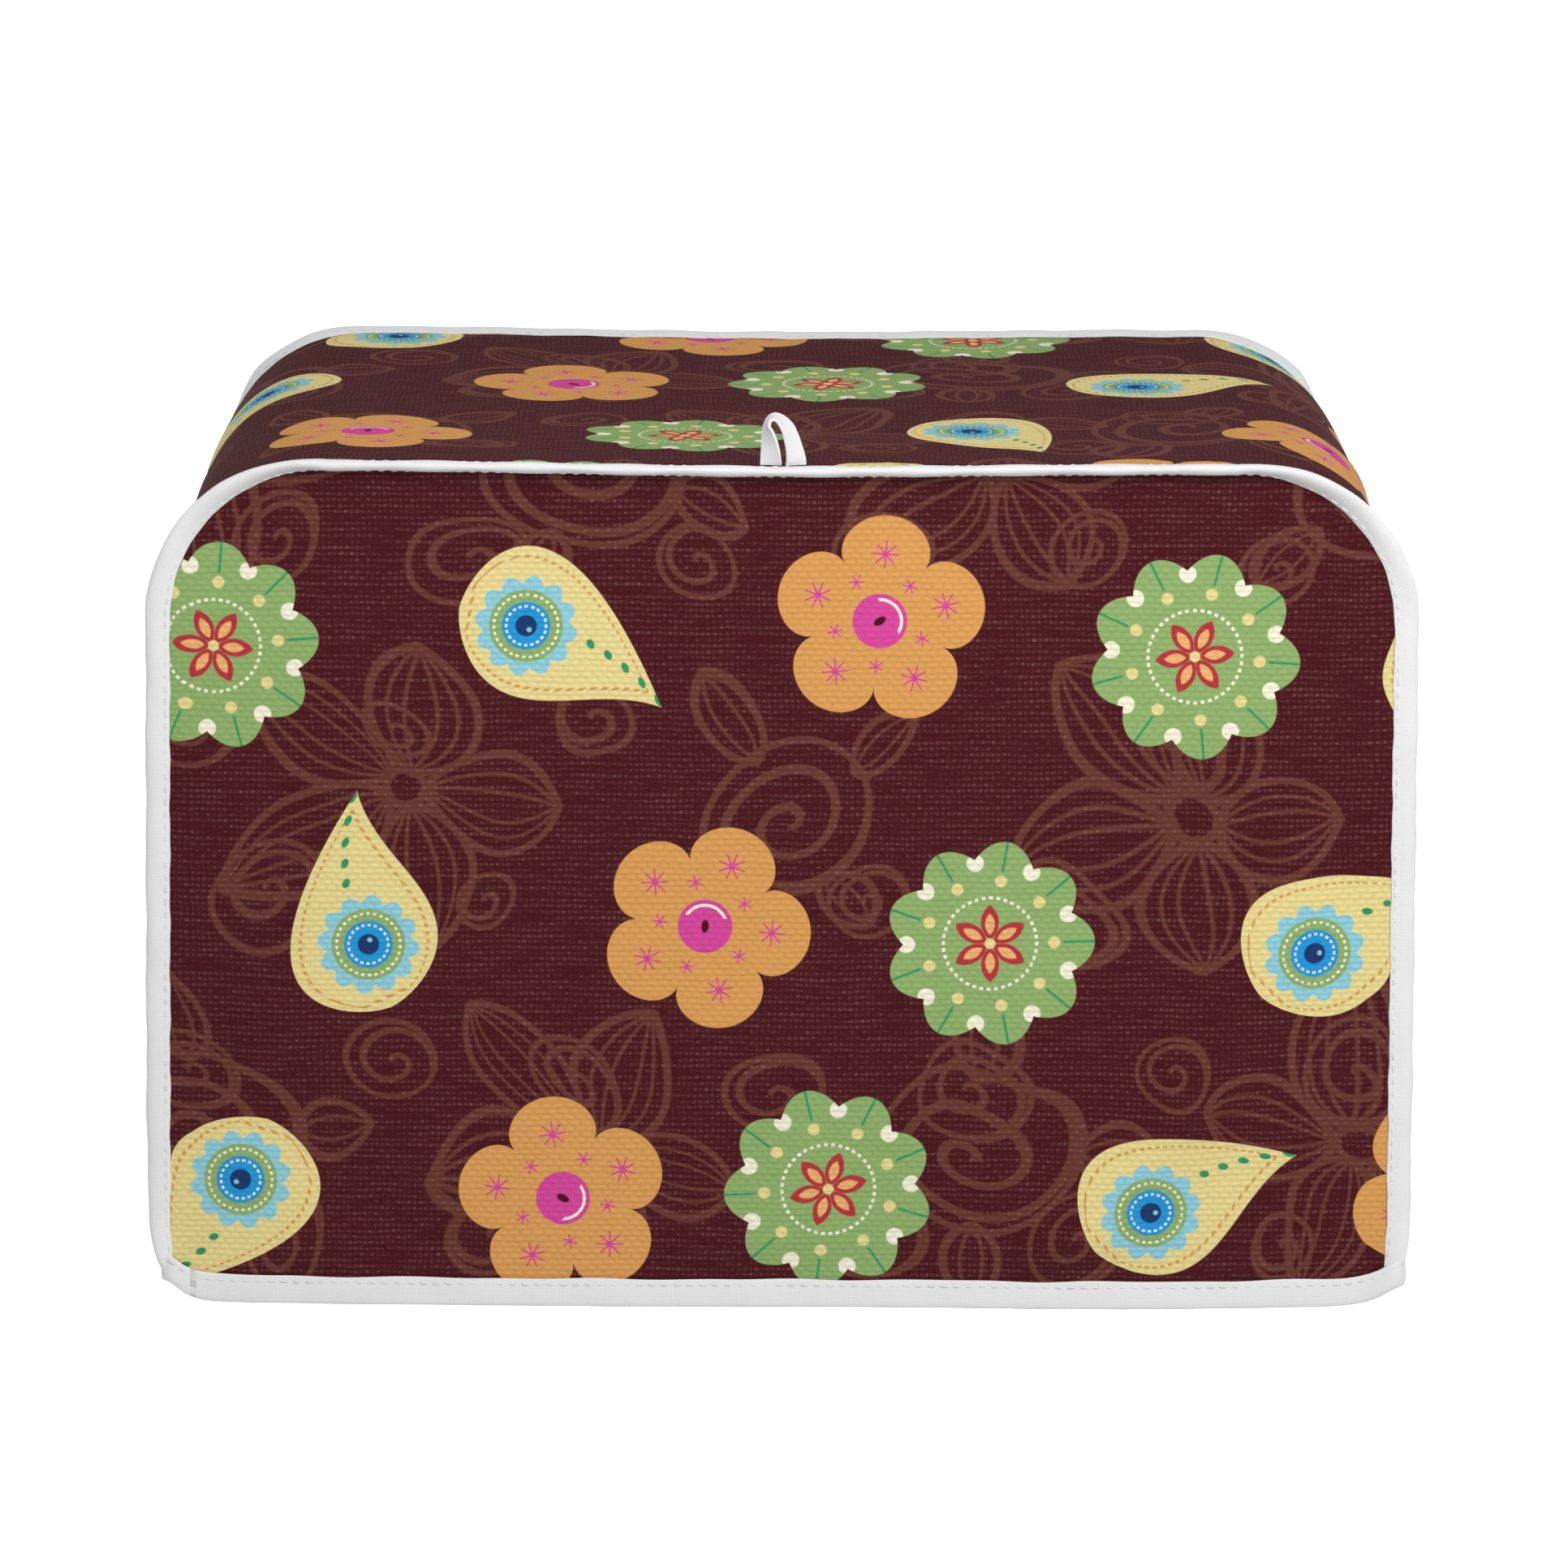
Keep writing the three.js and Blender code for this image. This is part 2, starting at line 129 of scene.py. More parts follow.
class Seam:
    """Places on the seam, with its outward direction and the tilt of each face's fin."""

    def __init__(self, run):
        self.run = np.asarray(run, float)
        self.x, self.z = seam_point(self.run)
        before = seam_point(np.maximum(self.run - RUN_STEP, 0))
        after = seam_point(np.minimum(self.run + RUN_STEP, 5))
        along_x, along_z = after[0] - before[0], after[1] - before[1]
        length = np.hypot(along_x, along_z)
        self.out_x, self.out_z = -along_z / length, along_x / length
        climb = np.arcsin(np.clip(self.out_z, 0, 1)) / (math.pi / 2)
        at_foot = np.clip((FOOT_LEAN_HEIGHT - self.z) / (FOOT_LEAN_HEIGHT - CLOTH_FOOT), 0, 1)
        raised = mix(BACK_CORNER_LEAN, TOP_LEAN, np.clip(2 * climb - 1, 0, 1))
        back_lean = mix(BACK_SIDE_LEAN, raised, smooth(*BACK_CORNER_CLIMB, climb))
        self.lean = {
            FRONT: np.radians(TOP_LEAN * climb + FOOT_LEAN * at_foot),
            BACK: np.radians(back_lean),
        }
        up = np.maximum(self.z - FIN_FOOT, 0)
        left, right = (
            sum(share * np.exp(-up / height) for share, height in FIN_NARROWING[side])
            for side in ("left", "right")
        )
        self.narrowing = np.where(self.x < 0, left, right)
        steps = np.hypot(np.diff(self.x), np.diff(self.z))
        self.length = np.concatenate([[0], np.cumsum(steps)])

    def near(self, face, out, past):
        x, z = self.x + out * self.out_x, self.z + out * self.out_z
        return np.stack([x, face * (DEPTH / 2 + past) + 0 * x, z], -1)

    def on_fin(self, face, reach, off):
        c, s = np.cos(self.lean[face]), np.sin(self.lean[face])
        reach = reach - np.maximum(reach - FIN_OPEN, 0) * self.narrowing
        return self.near(face, reach * c - off * s, reach * s + off * c)


def curve_rows(start, bend, end):
    """Rows of points on soft curves from start to end, drawn toward bend, without the start."""
    shares = np.linspace(0, 1, BEND_STEPS + 1)[1:]
    return [(1 - t) ** 2 * start + 2 * t * (1 - t) * bend + t * t * end for t in shares]


def outline_place(x, z):
    """How far inside the seam a place of a panel is, and how far along the seam."""
    over_x, over_z = np.abs(x) - CORNER_X, z - CORNER_HEIGHT
    is_corner = (over_x > 0) & (over_z > 0)
    turn = np.arctan2(np.maximum(over_z, 0), np.maximum(over_x, 1e-6))
    to_side, to_top = SEAM_HALF - np.abs(x), SEAM_TOP - z
    inside = np.where(is_corner, CORNER_RADIUS - np.hypot(over_x, over_z), np.minimum(to_side, to_top))
    round_corner = CORNER_HEIGHT + CORNER_RADIUS * turn
    over_top = CORNER_HEIGHT + CORNER_RADIUS * math.pi / 2 - over_x
    along = np.where(is_corner, round_corner, np.where(to_side < to_top, z, over_top))
    return inside, np.sign(x + 1e-9) * along


def pucker(inside, along, seed):
    """The cloth's small uneven puckers beside a line of stitching."""
    beat = 0.6 + 0.4 * np.sin(0.071 * along + seed)
    waves = np.sin(0.83 * along + 1.7 * np.sin(0.19 * along + seed))
    waves = waves + 0.6 * np.sin(1.31 * along + seed)
    return PUCKER_HEIGHT * beat * waves * np.exp(-((inside - PUCKER_PLACE) / PUCKER_WIDTH) ** 2)


# Soft folds by (x, z) of their two ends, half width and height.
FOLDS = {
    FRONT: [
        ((126, 104), (102, 56), 12, 2.4),
        ((102, 56), (70, 14), 13, 2.6),
        ((98, 130), (76, 96), 11, -1.3),
        ((134, 122), (137, 98), 6, -1.0),
        ((-96, 118), (-130, 66), 14, 1.2),
        ((-118, 44), (-88, 14), 12, -1.2),
        ((-34, 192), (-66, 154), 14, -1.1),
        ((38, 194), (68, 160), 14, -1.0),
        ((-6, 14), (14, 66), 18, 1.3),
    ],
    BACK: [
        ((-124, 118), (-92, 60), 12, 0.9),
        ((-92, 60), (-70, 12), 13, 0.8),
        ((116, 126), (134, 70), 12, -0.7),
        ((30, 192), (52, 150), 13, -0.5),
        ((70, 12), (48, 52), 14, 0.6),
    ],
}


def fold_height(face, x, z):
    total = np.zeros_like(x)
    for (x0, z0), (x1, z1), width, height in FOLDS[face]:
        run_x, run_z = x1 - x0, z1 - z0
        length = math.hypot(run_x, run_z)
        share = ((x - x0) * run_x + (z - z0) * run_z) / length**2
        nearest = np.clip(share, 0, 1)
        beside = np.hypot(x - x0 - nearest * run_x, z - z0 - nearest * run_z)
        total += height * np.exp(-((beside / width) ** 2))
    return total


def corner_lift(x, y):
    """How far the hem is drawn up at its four corners, where the seams pull it."""
    side = (np.asarray(x) > 0).astype(int)
    corner_x, wide = np.take(HEM_CORNER_X, side), np.take(HEM_CORNER_WIDE, side)
    across = np.maximum(corner_x - np.abs(x), 0) / wide
    deep = np.maximum(HEM_CORNER_Y - np.abs(y), 0) / HEM_CORNER_DEEP
    return HEM_CORNER_LIFT * np.exp(-(np.hypot(across, deep) ** 1.3))


def panel_bow(face, across, up):
    lopsided = 1 - BOW_SHIFT * face * across
    drawn_in = (1 - across**4) * (1 - up**3)
    waves = np.sin(5.1 * across + 2.3 * up + face) + np.sin(3.2 * up - 7.3 * across)
    return drawn_in * (BOW[face] * lopsided + RIPPLE * waves)


class Sheet:
    """A cloth of even faces with a printed outer and a plain inner side, closed round its edge."""

    def __init__(self):
        self.outer, self.inner, self.print_place, self.quads = [], [], [], []
        self.count = 0

    def add(self, outer, inner, place):
        shape = outer.shape[:-1]
        self.outer.append(outer.reshape(-1, 3))
        self.inner.append(inner.reshape(-1, 3))
        self.print_place.append(np.broadcast_to(place, shape + (2,)).reshape(-1, 2))
        size = int(np.prod(shape))
        ids = np.arange(self.count, self.count + size).reshape(shape)
        self.count += size
        return ids

    def span(self, one, other):
        """Faces between two rows of points, or between the rows of a grid."""
        self.quads.append(np.stack([one[:-1], one[1:], other[1:], other[:-1]], -1).reshape(-1, 4))

    def grid(self, ids):
        for one, other in zip(ids[:-1], ids[1:]):
            self.span(one, other)

    def margin(self, chain, seam, face, side, place_at):
        """Bends an edge out into the seam's fin, on its face's side (1) or the gusset's (-1)."""
        bend = np.tan((seam.lean[face] if side > 0 else math.pi / 2 - seam.lean[face]) / 2)
        rows = []
        for skin, bent, pressed in ((self.outer, CLOTH_BEND, CLOTH_EDGE), (self.inner, 0, 0)):
            start = np.concatenate(skin)[chain]
            far, leg = HALF_GAP + bent, side * (HALF_GAP + pressed)
            corner = (-far * bend, far) if side > 0 else (far, -far * bend)
            curve = curve_rows(start, seam.near(face, *corner), seam.on_fin(face, FIN_OPEN, leg))
            rows.append([*curve, seam.on_fin(face, MARGIN_END, leg)])
        reaches = [*np.linspace(-PANEL_INSET, FIN_OPEN, BEND_STEPS + 1)[1:], MARGIN_END]
        for reach, outer_row, inner_row in zip(reaches, *rows):
            row = self.add(outer_row, inner_row, place_at(reach))
            self.span(chain, row)
            chain = row

    def build(self, name):
        quads = np.concatenate(self.quads)
        edges = np.concatenate([quads[:, [i, (i + 1) % 4]] for i in range(4)])
        used = {}
        for start, end in edges.tolist():
            key = (min(start, end), max(start, end))
            used[key] = used.get(key, 0) + 1
        rim = np.array([key for key, times in used.items() if times == 1])
        below = self.count
        rim_faces = np.stack([rim[:, 0], rim[:, 1], rim[:, 1] + below, rim[:, 0] + below], -1)
        faces = np.concatenate([quads, quads[:, ::-1] + below, rim_faces])
        places = np.concatenate(self.print_place * 2)
        inside = np.repeat([0.0, 1.0], self.count)
        points = np.concatenate(self.outer + self.inner)
        return mesh_object(name, points, faces.tolist(), places, inside)


def mesh_object(name, points, faces, places, inside=None, sharp=50):
    """A closed mesh with a map of its cloth in metres, made from points in millimetres."""
    mesh = bpy.data.meshes.new(name)
    mesh.from_pydata((np.asarray(points) * MM).tolist(), [], faces)
    corners = np.empty(len(mesh.loops), int)
    mesh.loops.foreach_get("vertex_index", corners)
    layer = mesh.uv_layers.new(name="cloth")
    layer.data.foreach_set("uv", (np.asarray(places, float)[corners] * MM).ravel())
    if inside is not None:
        mesh.attributes.new("inside", "FLOAT", "POINT").data.foreach_set("value", inside)
    tidy = bmesh.new()
    tidy.from_mesh(mesh)
    bmesh.ops.recalc_face_normals(tidy, faces=tidy.faces)
    tidy.to_mesh(mesh)
    tidy.free()
    mesh.shade_smooth()
    mesh.set_sharp_from_angle(angle=math.radians(sharp))
    piece = bpy.data.objects.new(name, mesh)
    bpy.context.scene.collection.objects.link(piece)
    return piece


def panel_piece(name, face):
    corner_runs = np.arange(CORNER_STEPS) / CORNER_STEPS
    top_runs = np.linspace(2, 3, PANEL_TOP_STEPS + 1)
    columns = Seam(np.concatenate([1 + corner_runs, top_runs, 4 - corner_runs[::-1]]))
    top_x = columns.x - PANEL_INSET * columns.out_x
    top_z = columns.z - PANEL_INSET * columns.out_z
    sheet = Sheet()

    def cloth_at(z, thickness):
        x = top_x * (1 + HEM_FLARE / PANEL_HALF * np.maximum(0, 1 - z / CORNER_HEIGHT))
        past = CLOTH_MIDDLE + panel_bow(face, top_x / PANEL_HALF, z / (top_z + PANEL_INSET))
        inside, along = outline_place(x, z)
        held = smooth(0, FOLD_FREE, inside - PANEL_INSET) * smooth(0, HEM_FREE, z - CLOTH_FOOT)
        past = past + fold_height(face, x, z) * held
        past = past + pucker(inside, along, face) * smooth(0, 2, inside - PANEL_INSET + 0.5)
        past = past + pucker(z - CLOTH_FOOT + 3.0, x, 2.0 + face) * smooth(0, 2, z - CLOTH_FOOT)
        y = face * (DEPTH / 2 + past)
        half = np.array([0, face * thickness / 2, 0])
        middle = np.stack([x, y, np.broadcast_to(z, x.shape)], -1)
        return sheet.add(middle + half, middle - half, print_place(face, x, z))

    rows = np.linspace(0, 1, PANEL_ROWS + 1)
    grid = np.stack([cloth_at(CLOTH_FOOT + (top_z - CLOTH_FOOT) * share, CLOTH) for share in rows])
    sheet.grid(grid)
    lift = corner_lift(top_x, HEM_CORNER_Y)
    above = grid[0]
    for z in reversed(HEM_ROWS):
        row = cloth_at(z + lift * (1 - z / CLOTH_FOOT), CLOTH_EDGE)
        sheet.span(row, above)
        above = row

    side_runs = (CLOTH_FOOT + (CORNER_HEIGHT - CLOTH_FOOT) * rows[:-1] - FIN_FOOT) / (
        CORNER_HEIGHT - FIN_FOOT
    )
    edge = Seam(np.concatenate([side_runs, columns.run, 5 - side_runs[::-1]]))
    chain = np.concatenate([grid[:-1, 0], grid[-1], grid[-2::-1, -1]])

    def place_at(reach):
        return print_place(face, edge.x + reach * edge.out_x, edge.z + reach * edge.out_z)

    sheet.margin(chain, edge, face, 1, place_at)
    return sheet.build(name)


def print_place(face, x, z):
    """Where a panel's place is on the printed cloth. The back was cut from another stretch of it."""
    if face == FRONT:
        return np.stack([x, z + 0 * x], -1)
    return np.stack([BACK_CUT[0] - x, z + BACK_CUT[1] + 0 * x], -1)


def rgb(code):
    """A colour from its six hex digits, as light."""
    parts = [int(code[i : i + 2], 16) / 255 for i in (0, 2, 4)]
    return tuple(p / 12.92 if p <= 0.04045 else ((p + 0.055) / 1.055) ** 2.4 for p in parts) + (1.0,)


class Wire:
    """A socket of a material's nodes, which takes part in sums like a number."""

    def __init__(self, tree, socket=None):
        self.tree = tree
        self.socket = socket

    def node(self, kind, settings=None, inputs=None, output=0):
        made = self.tree.nodes.new("ShaderNode" + kind)
        for name, value in (settings or {}).items():
            setattr(made, name, value)
        for name, value in (inputs or {}).items():
            if isinstance(value, Wire):
                self.tree.links.new(value.socket, made.inputs[name])
            else:
                made.inputs[name].default_value = value
        if output is None:
            return [Wire(self.tree, socket) for socket in made.outputs]
        return Wire(self.tree, made.outputs[output])

    def math(self, operation, *values, clamp=False):
        settings = {"operation": operation, "use_clamp": clamp}
        return self.node("Math", settings, dict(enumerate(values)))

    def __add__(self, other):
        return self.math("ADD", self, other)

    def __sub__(self, other):
        return self.math("SUBTRACT", self, other)

    def __rsub__(self, other):
        return self.math("SUBTRACT", other, self)

    def __mul__(self, other):
        return self.math("MULTIPLY", self, other)

    def __truediv__(self, other):
        return self.math("DIVIDE", self, other)

    def __abs__(self):
        return self.math("ABSOLUTE", self)

    __radd__ = __add__
    __rmul__ = __mul__


def one(operation, value):
    return value.math(operation, value)


def most(first, *others):
    for other in others:
        first = first.math("MAXIMUM", first, other)
    return first


def reach_of(x, y):
    return one("SQRT", x * x + y * y)


def sector(angle, count, shift=0.0):
    """The angle from the middle of the nearest of so many equal sectors."""
    step = 2 * math.pi / count
    return (one("FRACT", angle / step + shift) - 0.5) * step


def ink(distance, soft=0.3):
    """1 inside a printed shape and 0 outside, with a slightly soft edge."""
    return distance.math("MULTIPLY_ADD", distance, -1 / soft, 0.5, clamp=True)


def line(distance, half_width, soft=0.3):
    return ink(abs(distance) - half_width, soft)


def dashes(along, length):
    return ink(abs(one("FRACT", along / length) - 0.5) - 0.27, 0.1)


def painted(base, *layers):
    """Colours laid over a base, each with its mask. A Mix node's two colours are sockets 6 and 7."""
    for mask, colour in layers:
        base = mask.node("Mix", {"data_type": "RGBA"}, {0: mask, 6: base, 7: colour}, output=2)
    return base


def leaf(px, py, middle, half_length, half_width):
    """Distance from the outline of a pointed leaf that lies along px."""
    radius = (half_length**2 + half_width**2) / (2 * half_width)
    return reach_of(px - middle, abs(py) + (radius - half_width)) - radius


def cells(x, y, width, height, seed):
    """Staggered cells: a place from its cell's middle, three chance numbers and the cell's number."""
    row = one("FLOOR", y / height)
    shifted = x / width + row * 0.5
    column = one("FLOOR", shifted)
    chance = x.node("TexWhiteNoise", {"noise_dimensions": "3D"}, {
        "Vector": x.node("CombineXYZ", None, {0: column + 0.5, 1: row + 0.5, 2: seed}),
    }, output=1)
    numbers = x.node("SeparateColor", None, {0: chance}, output=None)
    middle_x = (one("FRACT", shifted) - 0.5) * width
    middle_y = (one("FRACT", y / height) - 0.5) * height
    return middle_x, middle_y, numbers, column + row * 2


def turned(x, y, share):
    angle = share * (2 * math.pi)
    c, s = one("COSINE", angle), one("SINE", angle)
    return x * c + y * s, y * c - x * s


MAROON = rgb("480c17")
BROWN = rgb("724033")
GREEN, DEEP_GREEN, YELLOW, ORANGE = rgb("91b16d"), rgb("2f9a63"), rgb("ead993"), rgb("dc9f58")
PINK, BLUE, SKY, NAVY = rgb("d8489c"), rgb("1c9add"), rgb("8fcfdd"), rgb("15396c")
RED, PEACH, CREAM = rgb("b5363c"), rgb("efb374"), rgb("f6f2d8")
LINE_CELL = (96.0, 84.0)
LINE_DRIFT = 30.0
CURL_CELL = (48.0, 42.0)
CURL_START = (48.0, 4.0)
CURL_SHARE = 0.12


# Sizes in a motif's drawing are in millimetres from its middle.
def daisy(x, y):
    """A green daisy with scalloped petals, rings of dots and a small red flower in its middle."""
    r, angle = reach_of(x, y), x.math("ARCTAN2", y, x)
    petal = sector(angle, 9)
    shape = r - (21.0 + 4.4 * abs(one("COSINE", angle * 4.5)))
    big_dot = reach_of(r - 20.2, petal * 20.2) - 2.1
    between = sector(angle, 9, 0.5)
    small_dot = reach_of(r - 15.6, between * 15.6) - 1.45
    ring = line(r - 11.3, 0.38) * dashes(angle * 11.3, 1.77)
    vein = line(between * r, 0.3) * ink(17.8 - r)
    inner = sector(angle, 6)
    px, py = r * one("COSINE", inner), r * one("SINE", inner)
    colour = painted(
        GREEN,
        (vein, DEEP_GREEN),
        (ink(big_dot), CREAM),
        (ink(small_dot), YELLOW),
        (ring, CREAM),
        (ink(leaf(px, py, 5.2, 4.4, 2.2)), RED),
        (ink(leaf(px, py, 4.8, 2.6, 1.15)), PEACH),
        (ink(r - 1.3), YELLOW),
    )
    return shape, colour


def teardrop(x, y):
    """A pale yellow paisley with a blue and green eye, dotted up its curled tip."""
    share = (y + 21.0) / 52.0
    held = share.math("MINIMUM", share.math("MAXIMUM", share, 0.0005), 1.0)
    half_width = 18.5 * one("SINE", held.math("POWER", held, 0.62) * math.pi)
    bend = held * held * held * 15.0 - 2.5
    beside = x - bend
    shape = most(abs(beside) - half_width, share * -52.0, (share - 1.0) * 52.0)
    eye_x, eye_y = x + 1.0, y + 4.5
    r, angle = reach_of(eye_x, eye_y), eye_x.math("ARCTAN2", eye_y, eye_x)
    frill = r - (10.2 + 2.2 * abs(one("COSINE", angle * 6)))
    seeds_y = (one("FRACT", y / 4.6) - 0.5) * 4.6
    seeds = most(reach_of(beside + 0.6, seeds_y) - 1.05, 10.5 - y)
    stitched = line(shape + 2.6, 0.4) * dashes(y + x * 0.7, 2.3)
    colour = painted(
        YELLOW,
        (stitched, ORANGE),
        (ink(seeds), DEEP_GREEN),
        (ink(frill), SKY),
        (ink(r - 8.9), GREEN),
        (line(r - 7.7, 0.3) * dashes(angle * 7.7, 1.6), CREAM),
        (ink(r - 5.9), BLUE),
        (line(r - 4.8, 0.28) * dashes(angle * 4.8, 1.5), CREAM),
        (ink(r - 2.6), NAVY),
        (ink(reach_of(eye_x - 0.8, eye_y - 0.9) - 0.6), SKY),
    )
    return shape, colour


def blossom(x, y):
    """An orange five-petalled blossom with a pink middle and a pink star on each petal."""
    r, angle = reach_of(x, y), x.math("ARCTAN2", y, x)
    shape = r - (16.0 + 9.6 * one("SQRT", abs(one("COSINE", angle * 2.5))))
    petal = sector(angle, 5, 0.5)
    px, py = r * one("COSINE", petal) - 16.2, r * one("SINE", petal)
    star_r, star_angle = reach_of(px, py), px.math("ARCTAN2", py, px)
    star = most(star_r * abs(one("SINE", star_angle * 4)) - 0.75, star_r - 3.3)
    gap = sector(angle, 5)
    gx, gy = r * one("COSINE", gap) - 11.0, r * one("SINE", gap)
    small_r, small_angle = reach_of(gx, gy), gx.math("ARCTAN2", gy, gx)
    small_star = most(small_r * abs(one("SINE", small_angle * 3)) - 0.5, small_r - 1.9)
    shine = line(r - 5.2, 0.35) * ink(2.4 - y)
    colour = painted(
        ORANGE,
        (ink(star), PINK),
        (ink(small_star), PINK),
        (ink(r - 6.6), PINK),
        (shine, CREAM),
        (ink(reach_of(x, y * 0.55) - 0.9), MAROON),
    )
    return shape, colour


def noise(x, y, scale_x, scale_y, seed, detail=1.0, output=0):
    """Smooth chance numbers about 0.5 over the cloth, at so many waves a millimetre."""
    spot = x.node("CombineXYZ", None, {0: x * scale_x, 1: y * scale_y, 2: seed})
    return x.node("TexNoise", None, {"Vector": spot, "Scale": 1.0, "Detail": detail}, output=output)


def tonal_lines(x, y):
    """Brown line-work in the ground: flowers of veined petals, and scrolls with leaves."""
    wander = noise(x, y, 0.016, 0.016, 3.7, output=1)
    drifts = x.node("SeparateColor", None, {0: wander}, output=None)
    x, y = x + (drifts[0] - 0.5) * LINE_DRIFT, y + (drifts[1] - 0.5) * LINE_DRIFT
    lx, ly, chance, number = cells(x, y, *LINE_CELL, 5.0)
    lx, ly = turned(lx, ly, chance[0])
    r, angle = reach_of(lx, ly), lx.math("ARCTAN2", ly, lx)
    is_flower = number.math("FLOORED_MODULO", number, 2.0)

    petal = sector(angle, 5)
    px, py = r * one("COSINE", petal), r * one("SINE", petal)
    flower = most(
        line(leaf(px, py, 22.5, 18.0, 11.8), 1.0, 0.5),
        line(leaf(px, py, 22.5, 17.5, 7.4), 0.45, 0.5),
        line(leaf(px, py, 22.5, 17.0, 3.4), 0.45, 0.5),
        line(r - 4.8, 1.0, 0.5),
    )
    turn = angle / (2 * math.pi)
    spiral = one("FRACT", r / 10.0 - turn) - 0.5
    scroll = line(spiral * 10.0, 1.3, 0.5) * ink(r - 22.0, 0.5)
    spray = sector(angle, 4, 0.25)
    sx, sy = r * one("COSINE", spray), r * one("SINE", spray)
    leaves = most(
        line(leaf(sx, sy, 30.5, 10.0, 6.6), 1.0, 0.5),
        line(leaf(sx, sy, 30.5, 9.5, 2.7), 0.45, 0.5),
        line(r - 22.4, 0.9, 0.5),
    )
    drawn = mix(most(scroll, leaves), flower, is_flower)

    cx, cy, chance, number = cells(x + CURL_START[0], y + CURL_START[1], *CURL_CELL, 9.0)
    r, angle = reach_of(cx, cy), cx.math("ARCTAN2", cy, cx)
    curl = one("FRACT", r / 6.4 + angle / (2 * math.pi)) - 0.5
    size = 6.5 + chance[0] * 5.0
    curls = most(line(curl * 6.4, 0.8, 0.5) * ink(r - size, 0.5), line(r - size - 0.6, 0.7, 0.5))
    return most(drawn, curls * ink(CURL_SHARE - chance[1], 0.01))


def weave(x, y, warp_pitch, weft_pitch):
    """A plain weave: staggered crowns, 1 on the weft and -1 on the warp, and the weft's rows."""
    rows = one("COSINE", y * (math.pi / weft_pitch))
    return one("COSINE", x * (math.pi / warp_pitch)) * rows, abs(rows)


def cloth_places(start, scale=1000.0):
    """The two coordinates of the piece's cloth in millimetres."""
    spread = start.node("UVMap", {"uv_map": "cloth"})
    parts = start.node("SeparateXYZ", None, {0: spread}, output=None)
    return parts[0] * scale, parts[1] * scale


def finished_material(material, start, sockets, height, relief):
    normal = start.node("Bump", None, {"Height": height, "Distance": relief, "Strength": 1.0})
    surface = start.node("BsdfPrincipled", None, {**sockets, "Normal": normal})
    start.node("OutputMaterial", None, {"Surface": surface}, output=None)
    return material


def new_material(name):
    material = bpy.data.materials.new(name)
    material.use_nodes = True
    material.node_tree.nodes.clear()
    return material, Wire(material.node_tree)


WARP_PITCH = 1.34
WEFT_PITCH = 1.46
CANVAS_RELIEF = 0.00013
MOTIF_CELL = (76.0, 70.0)
MOTIF_START = (21.0, 9.0)
MOTIF_DRIFT = (13.0, 10.0)


def printed_canvas_material():
    """Stiff plain-weave canvas, printed on one side and left pale on the other, with a painted
    highlight on the weave's crowns and painted shade in its hollows.
    """
    material, start = new_material("printed_canvas")
    x, y = cloth_places(start)
    wander = noise(x, y, 0.07, 0.07, 0.0, 2.0) * 3.0
    crowns, rows = weave(x + wander, y + wander * 0.4, WARP_PITCH, WEFT_PITCH)
    fuzz = noise(x, y, 0.8, 1.6, 1.0, 2.0)
    slub = noise(x, y, 0.09, 0.6, 8.0, 2.0)
    # The weave's crowns get a painted highlight, made patchy by the slub and fuzz noise.
    raised = most(crowns, crowns * -0.75) * rows
    # The hollows between the weave's rows get painted shade.
    hollow_shade = (1.0 - rows) * 0.75 + most(crowns * -0.45, 0.0)
    patchy = most((slub - 0.5) * 0.9 + (fuzz - 0.5) * 0.8 + 0.15, 0.0)
    ground = painted(
        MAROON,
        (tonal_lines(x, y) * 0.75, BROWN),
        # Painted highlight on the weave's crowns.
        (raised * patchy, rgb("a86d72")),
        # Painted shade in the weave's hollows.
        (hollow_shade * 0.2, rgb("1c0407")),
    )
    lx, ly, chance, number = cells(x + MOTIF_START[0], y + MOTIF_START[1], *MOTIF_CELL, 1.0)
    lx = lx - (chance[0] - 0.5) * MOTIF_DRIFT[0]
    ly = ly - (chance[1] - 0.5) * MOTIF_DRIFT[1]
    lx, ly = turned(lx, ly, chance[2])
    kind = number.math("FLOORED_MODULO", number, 3.0)
    colour = ground
    for order, motif in enumerate((daisy, teardrop, blossom)):
        shape, motif_colour = motif(lx, ly)
        is_kind = ink(abs(kind - float(order)) - 0.5, 0.1)
        colour = painted(colour, (ink(shape) * is_kind, motif_colour))

    # Painted shade in the weave's hollows over the motifs as well, patchy like the highlight.
    colour = painted(colour, (hollow_shade * (patchy * 0.5 + 0.16), rgb("3a2410")))
    inside = start.node("Attribute", {"attribute_name": "inside"}, output=2)
    # The pale inner side, with painted shade in its weave's hollows.
    plain = painted(rgb("dedbd4"), (hollow_shade * 0.25, rgb("a9a59c")))
    colour = painted(colour, (inside, plain))
    height = rows * 0.6 + crowns * 0.4 + fuzz * 0.5 + slub * 0.35
    sockets = {
        "Base Color": colour,
        "Roughness": 0.86 - raised * 0.12,
        "Specular IOR Level": 0.1,
    }
    return finished_material(material, start, sockets, height, CANVAS_RELIEF)


def dress(piece, material, slot, *nodes):
    """Gives a piece its finish, and lets it stand for its nodes of the frame."""
    piece.data.materials.append(material)
    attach(piece, "root")
    if nodes:
        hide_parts(*nodes)
    return piece


canvas = printed_canvas_material()
front_cloth = dress(panel_piece("front_cloth", FRONT), canvas, "printed_canvas", "front_panel")


# The back panel is cut to the same pattern as the front one and sewn in the same way. Nothing shows
# of it in the photo, so its folds are its own.
back_cloth = dress(panel_piece("back_cloth", BACK), canvas, "printed_canvas", "back_panel")


